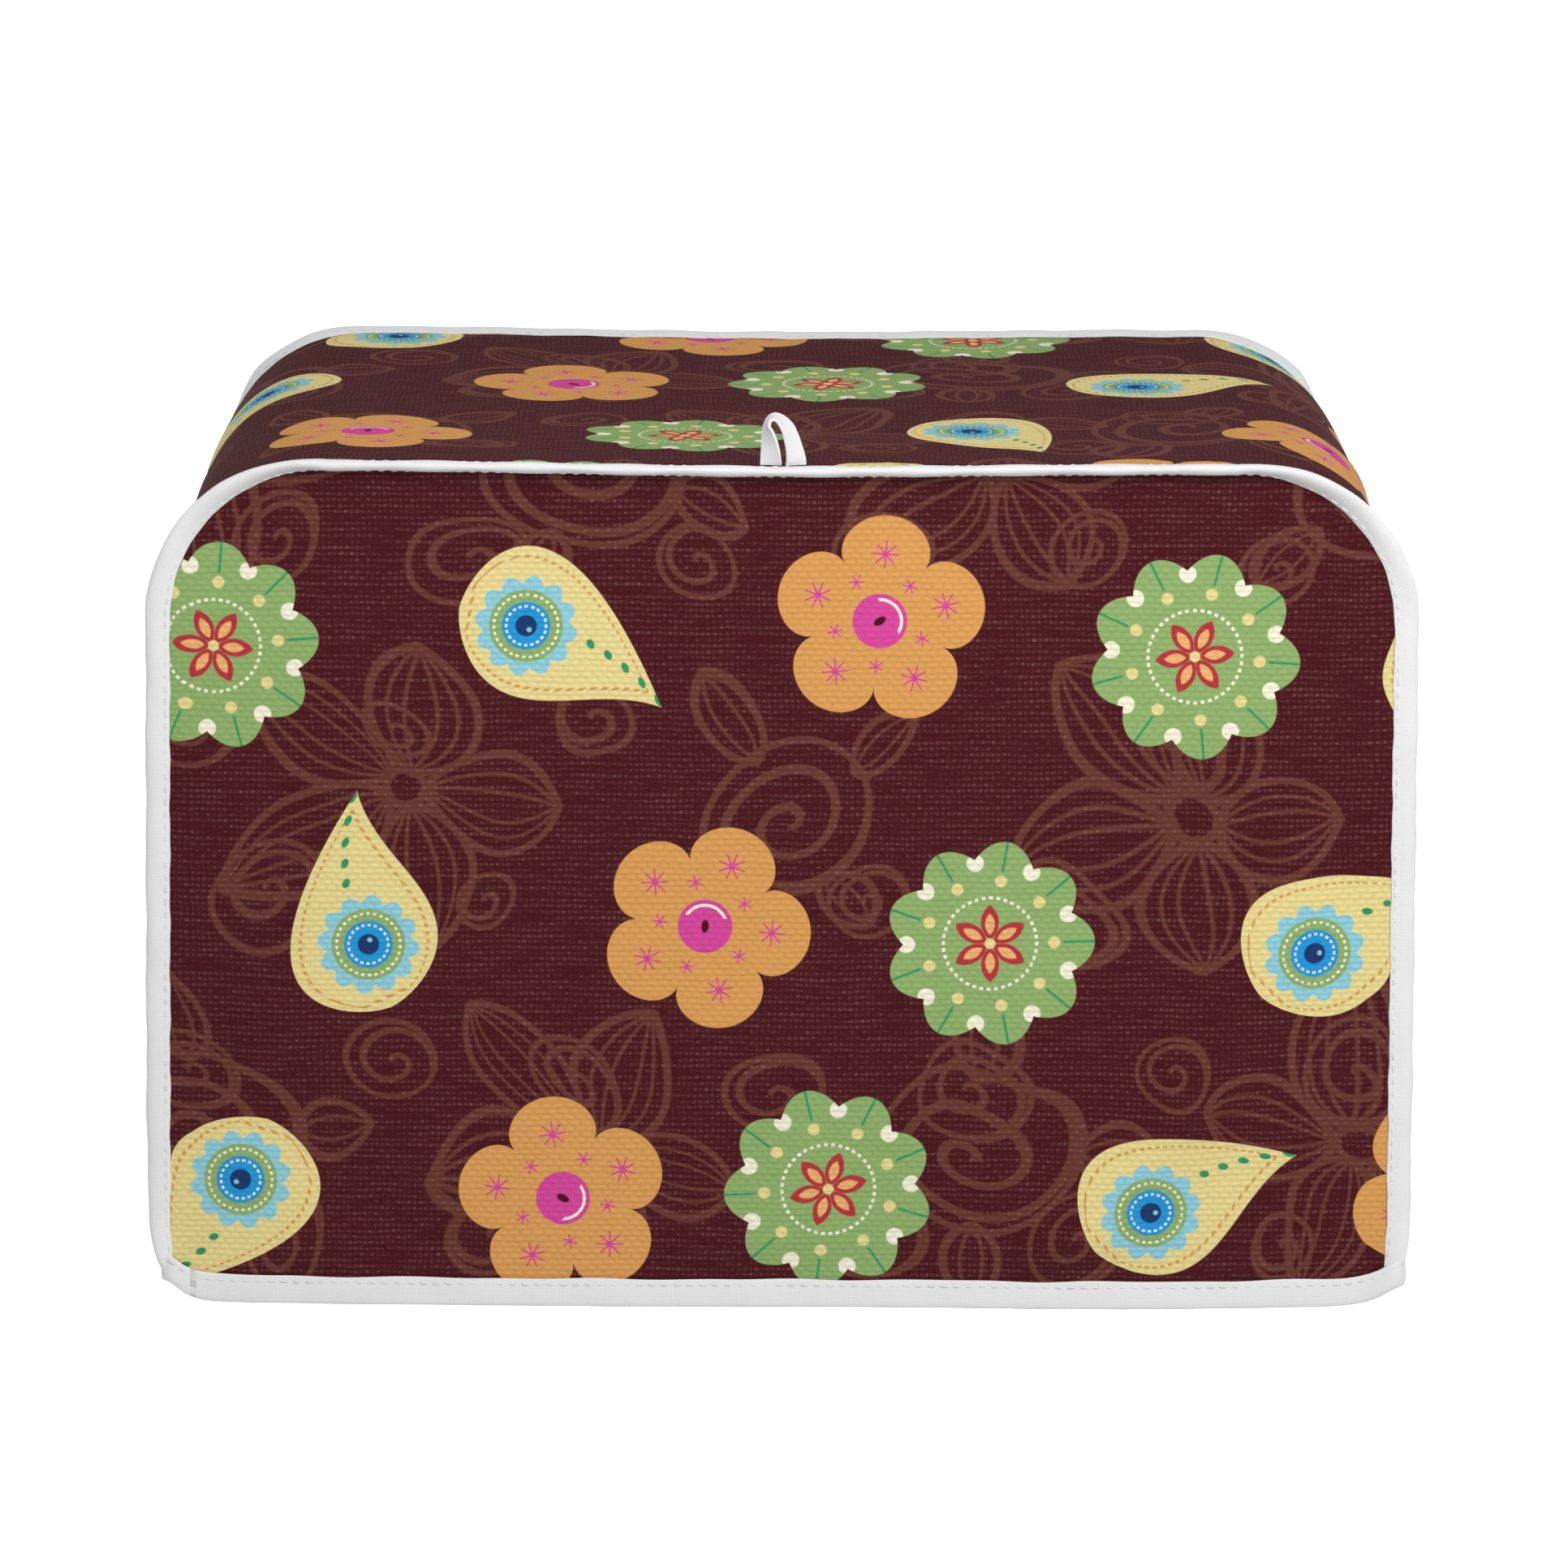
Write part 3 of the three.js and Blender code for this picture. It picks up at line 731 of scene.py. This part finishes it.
# The gusset is one long strip of the same canvas that makes the left side, the top and the right
# side. Its sides bow out low down, its top dips between the seams, and its shoulders are full, the
# right one most of all near the front.
SIDE_BOW = 2.2
SIDE_BOW_LOSS = 0.8
TOP_DIP = 1.4
LEFT_SHOULDER = 2.2
RIGHT_SHOULDER = 2.7
RIGHT_SHOULDER_SHIFT = 0.35
GUSSET_SIDE_STEPS = 80
GUSSET_TOP_STEPS = 110
FULL_DEPTH = 91.0
BEND_DEPTH = 88.5
HEM_DEPTH = 86.5
EVEN_DEPTH = 84
GUSSET_ROWS = 85
# Soft folds by (distance along the strip from the top's middle, depth) of two ends, width, height.
GUSSET_FOLDS = [
    ((112, -74), (146, -20), 9, 0.7),
    ((-118, -40), (-150, 12), 10, -0.6),
    ((-60, -80), (-86, -30), 11, -0.5),
    ((40, -84), (58, -40), 10, -0.45),
    ((20, 78), (44, 30), 12, 0.4),
    ((190, -60), (240, -20), 12, 0.8),
    ((250, 40), (320, 10), 13, -0.7),
    ((-200, 50), (-250, 10), 12, 0.7),
    ((-240, -50), (-318, -24), 13, -0.7),
]


def gusset_bow(seam, y, z):
    back = 2 * y / DEPTH
    from_seams = np.cos(back * math.pi / 2)
    on_top = np.maximum(0, seam.out_z) ** 2
    on_side = seam.out_x**2
    side = SIDE_BOW * on_side * (1 - SIDE_BOW_LOSS * z / SEAM_TOP)
    waves = np.sin(0.031 * seam.x + 0.045 * y) * np.sin(0.027 * z + 1.3)
    right = RIGHT_SHOULDER * (1 - back**6) * (1 - RIGHT_SHOULDER_SHIFT * back)
    shoulder = np.where(seam.x < 0, LEFT_SHOULDER * from_seams, right)
    level = from_seams * (side - TOP_DIP * on_top**2 + RIPPLE * waves)
    return level + 4 * on_top * on_side * shoulder


def gusset_piece(name):
    sheet = Sheet()
    side_runs = (np.linspace(CLOTH_FOOT, CORNER_HEIGHT, GUSSET_SIDE_STEPS + 1) - FIN_FOOT) / (
        CORNER_HEIGHT - FIN_FOOT
    )
    corner_runs = np.linspace(1, 2, CORNER_STEPS + 1)[1:]
    half = np.concatenate([side_runs, corner_runs])
    top_runs = np.linspace(2, 3, GUSSET_TOP_STEPS + 1)[1:-1]
    seam = Seam(np.concatenate([half, top_runs, 5 - half[::-1]]))
    along = seam.length - seam.length[-1] / 2
    edge_depths = np.array([HEM_DEPTH, BEND_DEPTH, FULL_DEPTH])
    even_depths = np.linspace(-EVEN_DEPTH, EVEN_DEPTH, GUSSET_ROWS)
    depths = np.concatenate([-edge_depths[::-1], even_depths, edge_depths])

    def cloth_at(place, along_strip, z, y, thickness):
        out = CLOTH_MIDDLE + gusset_bow(place, y, z)
        from_seam = DEPTH / 2 - np.abs(y)
        held = smooth(0, FOLD_FREE, from_seam - PANEL_INSET)
        for (s0, y0), (s1, y1), width, height in GUSSET_FOLDS:
            run_s, run_y = s1 - s0, y1 - y0
            share = ((along_strip - s0) * run_s + (y - y0) * run_y) / (run_s**2 + run_y**2)
            share = np.clip(share, 0, 1)
            beside = np.hypot(along_strip - s0 - share * run_s, y - y0 - share * run_y)
            out = out + held * height * np.exp(-((beside / width) ** 2))
        out = out + pucker(from_seam, along_strip, np.sign(y + 0.01)) * smooth(4, 6, from_seam)
        x = place.x + out * place.out_x
        up = z + out * place.out_z
        middle = np.stack([x, y + 0 * x, up], -1)
        shift = thickness / 2 * np.stack([place.out_x, 0 * place.out_x, place.out_z], -1)
        return sheet.add(middle + shift, middle - shift, np.stack([along_strip, y + 0 * x], -1))

    grid = np.stack([cloth_at(seam, along, seam.z, y, CLOTH) for y in depths], 1)
    sheet.grid(grid)

    for foot, row_above in ((0, grid[0]), (len(seam.x) - 1, grid[-1])):
        lift = corner_lift(2 * seam.x[foot], depths)
        above = row_above
        for z in reversed(HEM_ROWS):
            place = Seam(np.full(len(depths), seam.run[foot]))
            place.z = z + lift * (1 - z / CLOTH_FOOT)
            place.x = np.sign(seam.x[foot]) * side_half(place.z)
            strip = along[foot] + np.sign(along[foot]) * (CLOTH_FOOT - place.z)
            row = cloth_at(place, strip, place.z, depths, CLOTH_EDGE)
            sheet.span(row, above)
            above = row

    for face, chain in ((FRONT, grid[:, 0]), (BACK, grid[:, -1])):

        def place_at(reach):
            return np.stack([along, np.full(len(along), face * (DEPTH / 2 + reach))], -1)

        sheet.margin(chain, seam, face, -1, place_at)
    return sheet.build(name)


gusset_cloth = dress(gusset_piece("gusset_cloth"), canvas, "printed_canvas", "gusset")


# White cotton bias tape is folded over the raw fin of each seam and stitched near its open edges.
# It ripples a little along its outer fold, and narrows towards the hem at both its feet.
FIN_REACH = 7.2
# One leaf's section, by (reach along the fin, distance off its middle): its open edge, its outer
# side on to the fold, and its inner side back from there.
TAPE_EDGE = [(1.4, 0.72), (1.3, 0.85), (1.36, 1.03), (1.6, 1.14)]
TAPE_LEG = [(2.3, 1.12), (3.2, 1.26), (4.4, 1.3), (5.6, 1.18), (6.4, 0.92), (6.9, 0.58), (7.15, 0.2)]
TAPE_INSIDE = [(6.4, 0.7), (4.0, 0.74)]
TAPE_CREASE = 6.6
TAPE_STEP = 1.6
TAPE_PITCH = 0.34
TAPE_RELIEF = 0.00006
BIAS = 0.7071
# Rough lengths of the seam's stretches, for an even step along it.
SIDE_LENGTH, CORNER_LENGTH, TOP_LENGTH = 162, 60, 217


def white_tape_material():
    """Matt white cotton tape, cut on the bias, so its fine weave runs at 45 degrees."""
    material, start = new_material("white_tape")
    x, y = cloth_places(start)
    crowns = weave((x + y) * BIAS, (x - y) * BIAS, TAPE_PITCH, TAPE_PITCH)[0]
    lumps = noise(x, y, 0.3, 0.5, 0.0, 3.0)
    shade = most(crowns * -1.0, 0.0)
    colour = painted(
        rgb("e8e8e9"), (shade * 0.15, rgb("c8c8ca")), (most(lumps - 0.5, 0.0) * 0.5, rgb("d4d4d6"))
    )
    sockets = {
        "Base Color": colour,
        "Roughness": 0.8 - crowns * 0.05,
        "Specular IOR Level": 0.25,
    }
    return finished_material(material, start, sockets, crowns * 0.4 + lumps * 0.8, TAPE_RELIEF)


def loft_piece(name, sections, lengths, is_ring=False, sharp=50):
    """A closed body through like sections, each a loop of points, with the cloth's map along it."""
    count, size = sections.shape[:2]
    joins = count if is_ring else count - 1
    here = np.arange(joins)[:, None]
    following = (here + 1) % count
    corner = np.arange(size)[None, :]
    beside = (corner + 1) % size
    here, following = here * size, following * size
    quads = [here + corner, here + beside, following + beside, following + corner]
    faces = np.stack(quads, -1).reshape(-1, 4).tolist()
    if not is_ring:
        faces.append(list(range(size)))
        faces.append(list(range((count - 1) * size, count * size)))
    around = np.linalg.norm(np.diff(sections[count // 2], axis=0), axis=1)
    around = np.concatenate([[0], np.cumsum(around)])
    places = np.stack(np.broadcast_arrays(lengths[:, None], around[None, :]), -1).reshape(-1, 2)
    return mesh_object(name, sections.reshape(-1, 3), faces, places, sharp=sharp)


def tape_runs(step):
    """Places up the left side, over the top and down the right side, about a step apart."""
    side = np.linspace(0, 1, int(SIDE_LENGTH / step))
    corner = np.linspace(1, 2, int(CORNER_LENGTH / step))[1:]
    top = np.linspace(2, 3, int(TOP_LENGTH / step))[1:-1]
    half = np.concatenate([side, corner])
    return np.concatenate([half, top, 5 - half[::-1]])


def binding_piece(name, face):
    seam = Seam(tape_runs(TAPE_STEP))
    s = seam.length
    ripple = 0.16 * np.sin(0.21 * s + face) + 0.1 * np.sin(0.53 * s + 2 * np.sin(0.09 * s))
    edge = 0.1 * np.sin(0.31 * s + 3 * face) + 0.07 * np.sin(0.77 * s)
    sway = 0.14 * np.sin(0.16 * s + 1.3 * face) + 0.08 * np.sin(0.47 * s + face)
    full = 1 + 0.1 * np.sin(0.27 * s + 2 * face)
    leg = TAPE_EDGE + TAPE_LEG
    loop = [*leg, (FIN_REACH, 0.0), *[(r, -o) for r, o in reversed(leg)]]
    loop += [*[(r, -o) for r, o in reversed(TAPE_INSIDE)], (TAPE_CREASE, 0.0), *TAPE_INSIDE]
    rows = []
    for reach, off in loop:
        outward = smooth(4.5, FIN_REACH, reach)
        open_edge = 1 - smooth(1.3, 3.0, reach)
        is_inside = (reach, abs(off)) in TAPE_INSIDE or off == 0 and reach < FIN_REACH
        body = 1.0 if is_inside else full
        rows.append(seam.on_fin(
            face,
            reach + outward * ripple * 0.7 + open_edge * edge,
            off * body + sway * outward * 0.6,
        ))
    return loft_piece(name, np.stack(rows, 1), s)


tape = white_tape_material()
front_tape = dress(binding_piece("front_tape", FRONT), tape, "white_tape", "front_binding")
back_tape = dress(binding_piece("back_tape", BACK), tape, "white_tape", "back_binding")


# The bottom edge is bound all the way round in the same tape, a little wider, which holds the raw
# feet of all three cloths and turns softly round the four bottom corners.
HEM_HEIGHT = 7.0
# The tape's section, by (distance from its middle, height), up its outer side and down its inner.
HEM_LEG = [(0.72, 0.0), (0.98, 0.25), (1.12, 0.9), (1.16, 2.6), (1.12, 4.4), (1.0, 6.2)]
HEM_LEG += [(0.96, 6.8), (0.8, 7.0), (0.5, 6.95)]
HEM_INSIDE = [(0.37, 6.6), (0.35, 3.0), (0.35, 0.85)]
HEM_LINE_HEIGHT = 1.1
HEM_LINE_STEPS = {"columns": 120, "panel": 170, "side": 100}
HEM_CORNER_STEPS = 16
HEM_CORNER_SWELL = 0.7
SWELL_WIDE = 5
HEM_RIGHT_FLARE = 2.6
PANEL_HANDLE = np.array([9.6, 0.6])
GUSSET_HANDLE = np.array([0.8, 11.8])


def hem_line():
    """The line of the cloth's foot seen from above, along the front to the right and on round, with
    how far the tape is drawn up and how much it swells at each of its points."""
    corner_runs = np.linspace(1, 2, 2 * CORNER_STEPS + 1)
    top_runs = np.linspace(2, 3, HEM_LINE_STEPS["columns"])[1:-1]
    columns = Seam(np.concatenate([corner_runs, top_runs, 5 - corner_runs[::-1]]))
    x_base = columns.x - PANEL_INSET * columns.out_x
    top_z = columns.z
    keep = np.abs(x_base) <= HEM_COLUMN_END
    x_base, top_z = x_base[keep], top_z[keep]
    spread = np.linspace(x_base[0], x_base[-1], HEM_LINE_STEPS["panel"])
    x = spread * (1 + HEM_FLARE / PANEL_HALF * (1 - HEM_LINE_HEIGHT / CORNER_HEIGHT))
    lines = {}
    for face in (FRONT, BACK):
        up = HEM_LINE_HEIGHT / np.interp(spread, x_base, top_z)
        past = CLOTH_MIDDLE + panel_bow(face, spread / PANEL_HALF, up)
        lines[face] = np.stack([x, face * (DEPTH / 2 + past)], -1)
    y = np.linspace(-HEM_DEPTH, HEM_DEPTH, HEM_LINE_STEPS["side"])
    sides = {}
    for sign in (-1, 1):
        place = Seam(np.full(len(y), (CLOTH_FOOT - FIN_FOOT) / (CORNER_HEIGHT - FIN_FOOT)))
        place.x = np.full(len(y), sign * side_half(HEM_LINE_HEIGHT))
        place.out_x = place.out_x * -sign
        out = CLOTH_MIDDLE + gusset_bow(place, y, HEM_LINE_HEIGHT)
        sides[sign] = np.stack([place.x + out * place.out_x, y], -1)
    runs = [lines[FRONT], sides[1], lines[BACK][::-1], sides[-1][::-1]]
    line_points, middles = [], []
    for number, run in enumerate(runs):
        line_points.append(run)
        start, end = run[-1], runs[(number + 1) % 4][0]
        handles = [PANEL_HANDLE, GUSSET_HANDLE] if number % 2 == 0 else [GUSSET_HANDLE, PANEL_HANDLE]
        flare = [HEM_RIGHT_FLARE if start[0] > 0 else 0.0, 0.0]
        leave = start + handles[0] * np.sign(start) + flare
        arrive = end + handles[1] * np.sign(end) + flare
        t = (np.arange(1, HEM_CORNER_STEPS) / HEM_CORNER_STEPS)[:, None]
        bends = (1 - t) ** 3 * start + 3 * t * (1 - t) ** 2 * leave
        bends = bends + 3 * t**2 * (1 - t) * arrive + t**3 * end
        middles.append(bends[HEM_CORNER_STEPS // 2 - 1])
        line_points.append(bends)
    points = np.concatenate(line_points)
    from_corner = [np.linalg.norm(points - middle, axis=1) for middle in middles]
    lift = corner_lift(points[:, 0], points[:, 1])
    nearest = np.min(from_corner, axis=0) / SWELL_WIDE
    swell = 1 + HEM_CORNER_SWELL * np.exp(-(nearest**2))
    return points, lift, swell


def hem_piece(name):
    points, lift, corner_swell = hem_line()
    following, before = np.roll(points, -1, 0), np.roll(points, 1, 0)
    along = following - before
    along /= np.linalg.norm(along, axis=1, keepdims=True)
    out = np.stack([along[:, 1], -along[:, 0]], -1)
    s = np.concatenate([[0], np.cumsum(np.linalg.norm(np.diff(points, axis=0), axis=1))])
    total = s[-1] + np.linalg.norm(points[0] - points[-1])
    beat = 2 * math.pi * s / total
    height = HEM_HEIGHT + 0.14 * np.sin(23 * beat) + 0.1 * np.sin(41 * beat + 1.0)
    swell = 1 + 0.1 * np.sin(31 * beat) + 0.08 * np.sin(57 * beat + 2.0)
    right = HEM_LEG + HEM_INSIDE
    loop = right + [(-o, up) for o, up in reversed(right)]
    rows = []
    for off, up in loop:
        is_inside = (abs(off), up) in HEM_INSIDE
        spread = off * corner_swell * (1.0 if is_inside else swell)
        z = up if up == 0.0 else up / HEM_HEIGHT * (HEM_HEIGHT if is_inside else height)
        place = points + spread[:, None] * out
        rows.append(np.column_stack([place, z + lift]))
    return loft_piece(name, np.stack(rows, 1), s, is_ring=True)


hem_tape = dress(hem_piece("hem_tape"), tape, "white_tape", "hem_binding")


# The hanging loop is a short narrow tape, caught in the top seam by both ends behind the front
# binding. It leans to the left and is twisted, so that its left leg narrows to an edge at the crest.
LOOP_WIDTH = 5.3
LOOP_TAPE = 0.8
LOOP_ROUND = 0.2
LOOP_SPAN_STEPS = 6
LOOP_FOOT = SEAM_TOP - TOP_SAG + HALF_GAP + CLOTH + 2 * HALF_GAP
# Each row is x, y, height above the foot and the turn of the tape about its path in degrees.
LOOP_PATH = np.array([
    (-3.0, -94.2, 0.0, 80), (-3.0, -94.2, 1.0, 72), (-3.1, -94.2, 3.0, 60), (-3.3, -94.0, 5.2, 47),
    (-3.7, -93.8, 7.7, 31), (-3.9, -93.7, 9.6, 12), (-3.3, -93.6, 11.0, 5), (-2.0, -93.6, 11.5, 8),
    (-0.5, -93.6, 10.6, 18), (0.9, -93.7, 8.9, 30), (1.8, -93.8, 6.7, 38), (2.5, -94.0, 4.2, 45),
    (3.0, -94.2, 1.5, 60), (3.0, -94.2, 0.0, 72),
])


def smooth_path(rows, steps):
    """A smooth curve through rows of numbers, with so many steps between each two."""
    padded = np.vstack([2 * rows[0] - rows[1], rows, 2 * rows[-1] - rows[-2]])
    points = []
    for a, b, c, d in zip(padded, padded[1:], padded[2:], padded[3:]):
        for t in np.arange(steps) / steps:
            cubic = 2 * b + (c - a) * t + (2 * a - 5 * b + 4 * c - d) * t**2
            points.append((cubic + (3 * b - a - 3 * c + d) * t**3) / 2)
    return np.array([*points, rows[-1]])


def loop_piece(name):
    path = smooth_path(LOOP_PATH, LOOP_SPAN_STEPS)
    centres = path[:, :3] + [0, 0, LOOP_FOOT]
    along = np.gradient(centres, axis=0)
    along[[0, -1]] = [[0, 0, 1], [0, 0, -1]]
    along /= np.linalg.norm(along, axis=1, keepdims=True)
    outward = np.cross(along, [0, 1, 0])
    outward /= np.linalg.norm(outward, axis=1, keepdims=True)
    in_depth = np.cross(outward, along)
    turn = np.radians(path[:, 3])[:, None]
    wide = in_depth * np.cos(turn) + outward * np.sin(turn)
    facing = outward * np.cos(turn) - in_depth * np.sin(turn)
    half, thin = LOOP_WIDTH / 2, LOOP_TAPE / 2
    flat = half - LOOP_ROUND
    section = [(-flat, -thin), (-half * 0.5, -thin * 0.75), (half * 0.5, -thin * 0.75)]
    section += [(flat, -thin), (half, -thin * 0.4), (half, thin * 0.4)]
    loop = section + [(-across, -deep) for across, deep in section]
    sections = np.stack([centres + across * wide + deep * facing for across, deep in loop], 1)
    s = np.concatenate([[0], np.cumsum(np.linalg.norm(np.diff(centres, axis=0), axis=1))])
    return loft_piece(name, sections, s)


hanging_loop = dress(loop_piece("hanging_loop"), tape, "white_tape", "loop")


# White sewing thread holds the tapes: a row of lock stitches near the open edges of each binding,
# on both of its sides, and near the top of the hem tape inside and out.
STITCH_PITCH = 3.1
STITCH_HALF = 1.12
THREAD_RADIUS = 0.2
THREAD_SIDES = 6
THREAD_RELIEF = 0.00004
BINDING_STITCH = {"reach": 2.35, "off": 1.12, "step": 1.2}
HEM_STITCH = {"up": 5.6, "off": 1.06}


def thread_material():
    """Twisted white polyester thread."""
    material, start = new_material("sewing_thread")
    x, y = cloth_places(start)
    twist = one("SINE", (x + y * 0.6) * 9.0)
    colour = painted(rgb("ececec"), (most(twist, 0.0) * 0.3, rgb("c4c4c6")))
    sockets = {"Base Color": colour, "Roughness": 0.55 + twist * 0.05, "Specular IOR Level": 0.4}
    return finished_material(material, start, sockets, twist, THREAD_RELIEF)


def stitches_piece(name, lines):
    """Stitches along lines of (points, the way their surface faces)."""
    shares = np.array([-1.0, -0.72, 0.0, 0.72, 1.0])
    girths = np.array([0.25, 0.85, 1.0, 0.85, 0.25]) * THREAD_RADIUS
    lifts = np.array([-0.28, -0.02, 0.1, -0.02, -0.28])
    angles = np.arange(THREAD_SIDES) * math.pi * 2 / THREAD_SIDES
    last = len(shares) - 1
    points, faces, places = [], [], []
    for line_points, facing in lines:
        steps = np.linalg.norm(np.diff(line_points, axis=0), axis=1)
        s = np.concatenate([[0], np.cumsum(steps)])
        centres = np.arange(STITCH_PITCH, s[-1] - STITCH_PITCH, STITCH_PITCH)
        at = np.stack([np.interp(centres, s, line_points[:, i]) for i in range(3)], -1)
        ahead = np.stack([np.interp(centres + 0.5, s, line_points[:, i]) for i in range(3)], -1)
        along = (ahead - at) / np.linalg.norm(ahead - at, axis=1, keepdims=True)
        up = np.stack([np.interp(centres, s, facing[:, i]) for i in range(3)], -1)
        up -= along * (up * along).sum(1, keepdims=True)
        up /= np.linalg.norm(up, axis=1, keepdims=True)
        side = np.cross(along, up)
        for number in range(len(centres)):
            first = len(points)
            for share, girth, lift in zip(shares, girths, lifts):
                middle = at[number] + share * STITCH_HALF * along[number] + lift * up[number]
                for angle in angles:
                    spoke = math.cos(angle) * side[number] + math.sin(angle) * up[number]
                    points.append(middle + girth * spoke)
                    places.append((centres[number] + share * STITCH_HALF, angle * THREAD_RADIUS))
            rings = [
                [first + ring * THREAD_SIDES + k for k in range(THREAD_SIDES)]
                for ring in range(last + 1)
            ]
            for ring, following in zip(rings, rings[1:]):
                for k in range(THREAD_SIDES):
                    beside = (k + 1) % THREAD_SIDES
                    faces.append([ring[k], ring[beside], following[beside], following[k]])
            faces += [rings[0], rings[last]]
    return mesh_object(name, np.array(points), faces, places, sharp=80)


def binding_stitches(face):
    seam = Seam(tape_runs(BINDING_STITCH["step"]))
    reach, off = BINDING_STITCH["reach"], BINDING_STITCH["off"]
    lines = []
    for side in (-1, 1):
        on = seam.on_fin(face, reach, side * off)
        above = seam.on_fin(face, reach, side * (off + 1))
        lines.append((on, above - on))
    return lines


def hem_stitches():
    points, lift, swell = hem_line()
    points = np.vstack([points, points[:1]])
    lift, swell = np.append(lift, lift[0]), np.append(swell, swell[0])
    along = np.gradient(points, axis=0)
    out = np.stack([along[:, 1], -along[:, 0]], -1)
    out /= np.linalg.norm(out, axis=1, keepdims=True)
    lines = []
    for side in (-1, 1):
        beside = points + side * HEM_STITCH["off"] * swell[:, None] * out
        lines.append((
            np.column_stack([beside, HEM_STITCH["up"] + lift]),
            np.column_stack([side * out, 0 * lift]),
        ))
    return lines


thread = thread_material()
front_stitches = dress(
    stitches_piece("front_tape_stitches", binding_stitches(FRONT)), thread, "white_tape"
)
back_stitches = dress(
    stitches_piece("back_tape_stitches", binding_stitches(BACK)), thread, "white_tape"
)
hem_tape_stitches = dress(stitches_piece("hem_tape_stitches", hem_stitches()), thread, "white_tape")


# A plain white floor and soft studio light: a bright surround, a weak lamp close above the front and
# a stronger one further off, in front on the right.
def area_light(name, place, target, size, power):
    light = bpy.data.lights.new(name, "AREA")
    light.shape = "DISK"
    light.size = size
    light.energy = power
    holder = bpy.data.objects.new(name, light)
    holder.visible_camera = False
    bpy.context.scene.collection.objects.link(holder)
    holder.matrix_world = Matrix.Translation(place) @ look_along(np.subtract(target, place))


def look_along(direction):
    ahead = np.array(direction) / np.linalg.norm(direction)
    right = np.cross(ahead, [0, 0, 1])
    right /= np.linalg.norm(right)
    up = np.cross(right, ahead)
    return Matrix([[right[i], up[i], -ahead[i], 0] for i in range(3)] + [[0, 0, 0, 1]])


FLOOR_HALF = 12.0
FLOOR_GLOW = 0.72
SURROUND_LIGHT = 0.62
corners = [(-FLOOR_HALF, -FLOOR_HALF, 0), (FLOOR_HALF, -FLOOR_HALF, 0)]
corners += [(FLOOR_HALF, FLOOR_HALF, 0), (-FLOOR_HALF, FLOOR_HALF, 0)]
floor_mesh = bpy.data.meshes.new("floor")
floor_mesh.from_pydata(corners, [], [(0, 1, 2, 3)])
floor_finish, floor_start = new_material("floor")
floor_surface = floor_start.node("BsdfPrincipled", None, {
    "Base Color": (0.9, 0.9, 0.9, 1),
    "Roughness": 0.9,
    "Emission Color": (1, 1, 1, 1),
    "Emission Strength": FLOOR_GLOW,
})
floor_start.node("OutputMaterial", None, {"Surface": floor_surface}, output=None)
floor_mesh.materials.append(floor_finish)
floor = bpy.data.objects.new("floor", floor_mesh)
bpy.context.scene.collection.objects.link(floor)
floor.visible_diffuse = False

world = bpy.data.worlds.new("studio")
world.use_nodes = True
world.node_tree.nodes["Background"].inputs["Color"].default_value = (1, 1, 1, 1)
world.node_tree.nodes["Background"].inputs["Strength"].default_value = SURROUND_LIGHT
bpy.context.scene.world = world
area_light("near", (0.0, -0.46, 0.46), (-0.02, -0.09, 0.14), 0.3, 0.72)
area_light("key", (0.5, -0.7, 0.5), (0.0, -0.08, 0.10), 0.3, 2.2)
bpy.context.scene.view_settings.view_transform = "Standard"


# The camera stands about two metres in front, a little above the cover, and looks down at it.
PHOTO_SIDE = 1932
FOCAL_PIXELS = 9840
CAMERA_PLACE = (-0.01154, -1.97734, 0.54548)
PITCH, YAW, ROLL = (math.radians(angle) for angle in (12.45, 0.37, -0.35))
SENSOR = 36.0

camera = bpy.data.cameras.new("camera")
camera.sensor_width = SENSOR
camera.lens = FOCAL_PIXELS / PHOTO_SIDE * SENSOR
camera.clip_end = 50
camera_holder = bpy.data.objects.new("camera", camera)
bpy.context.scene.collection.objects.link(camera_holder)
ahead = (math.sin(YAW) * math.cos(PITCH), math.cos(YAW) * math.cos(PITCH), -math.sin(PITCH))
camera_holder.matrix_world = (
    Matrix.Translation(CAMERA_PLACE) @ look_along(ahead) @ Matrix.Rotation(-ROLL, 4, "Z")
)
bpy.context.scene.camera = camera_holder
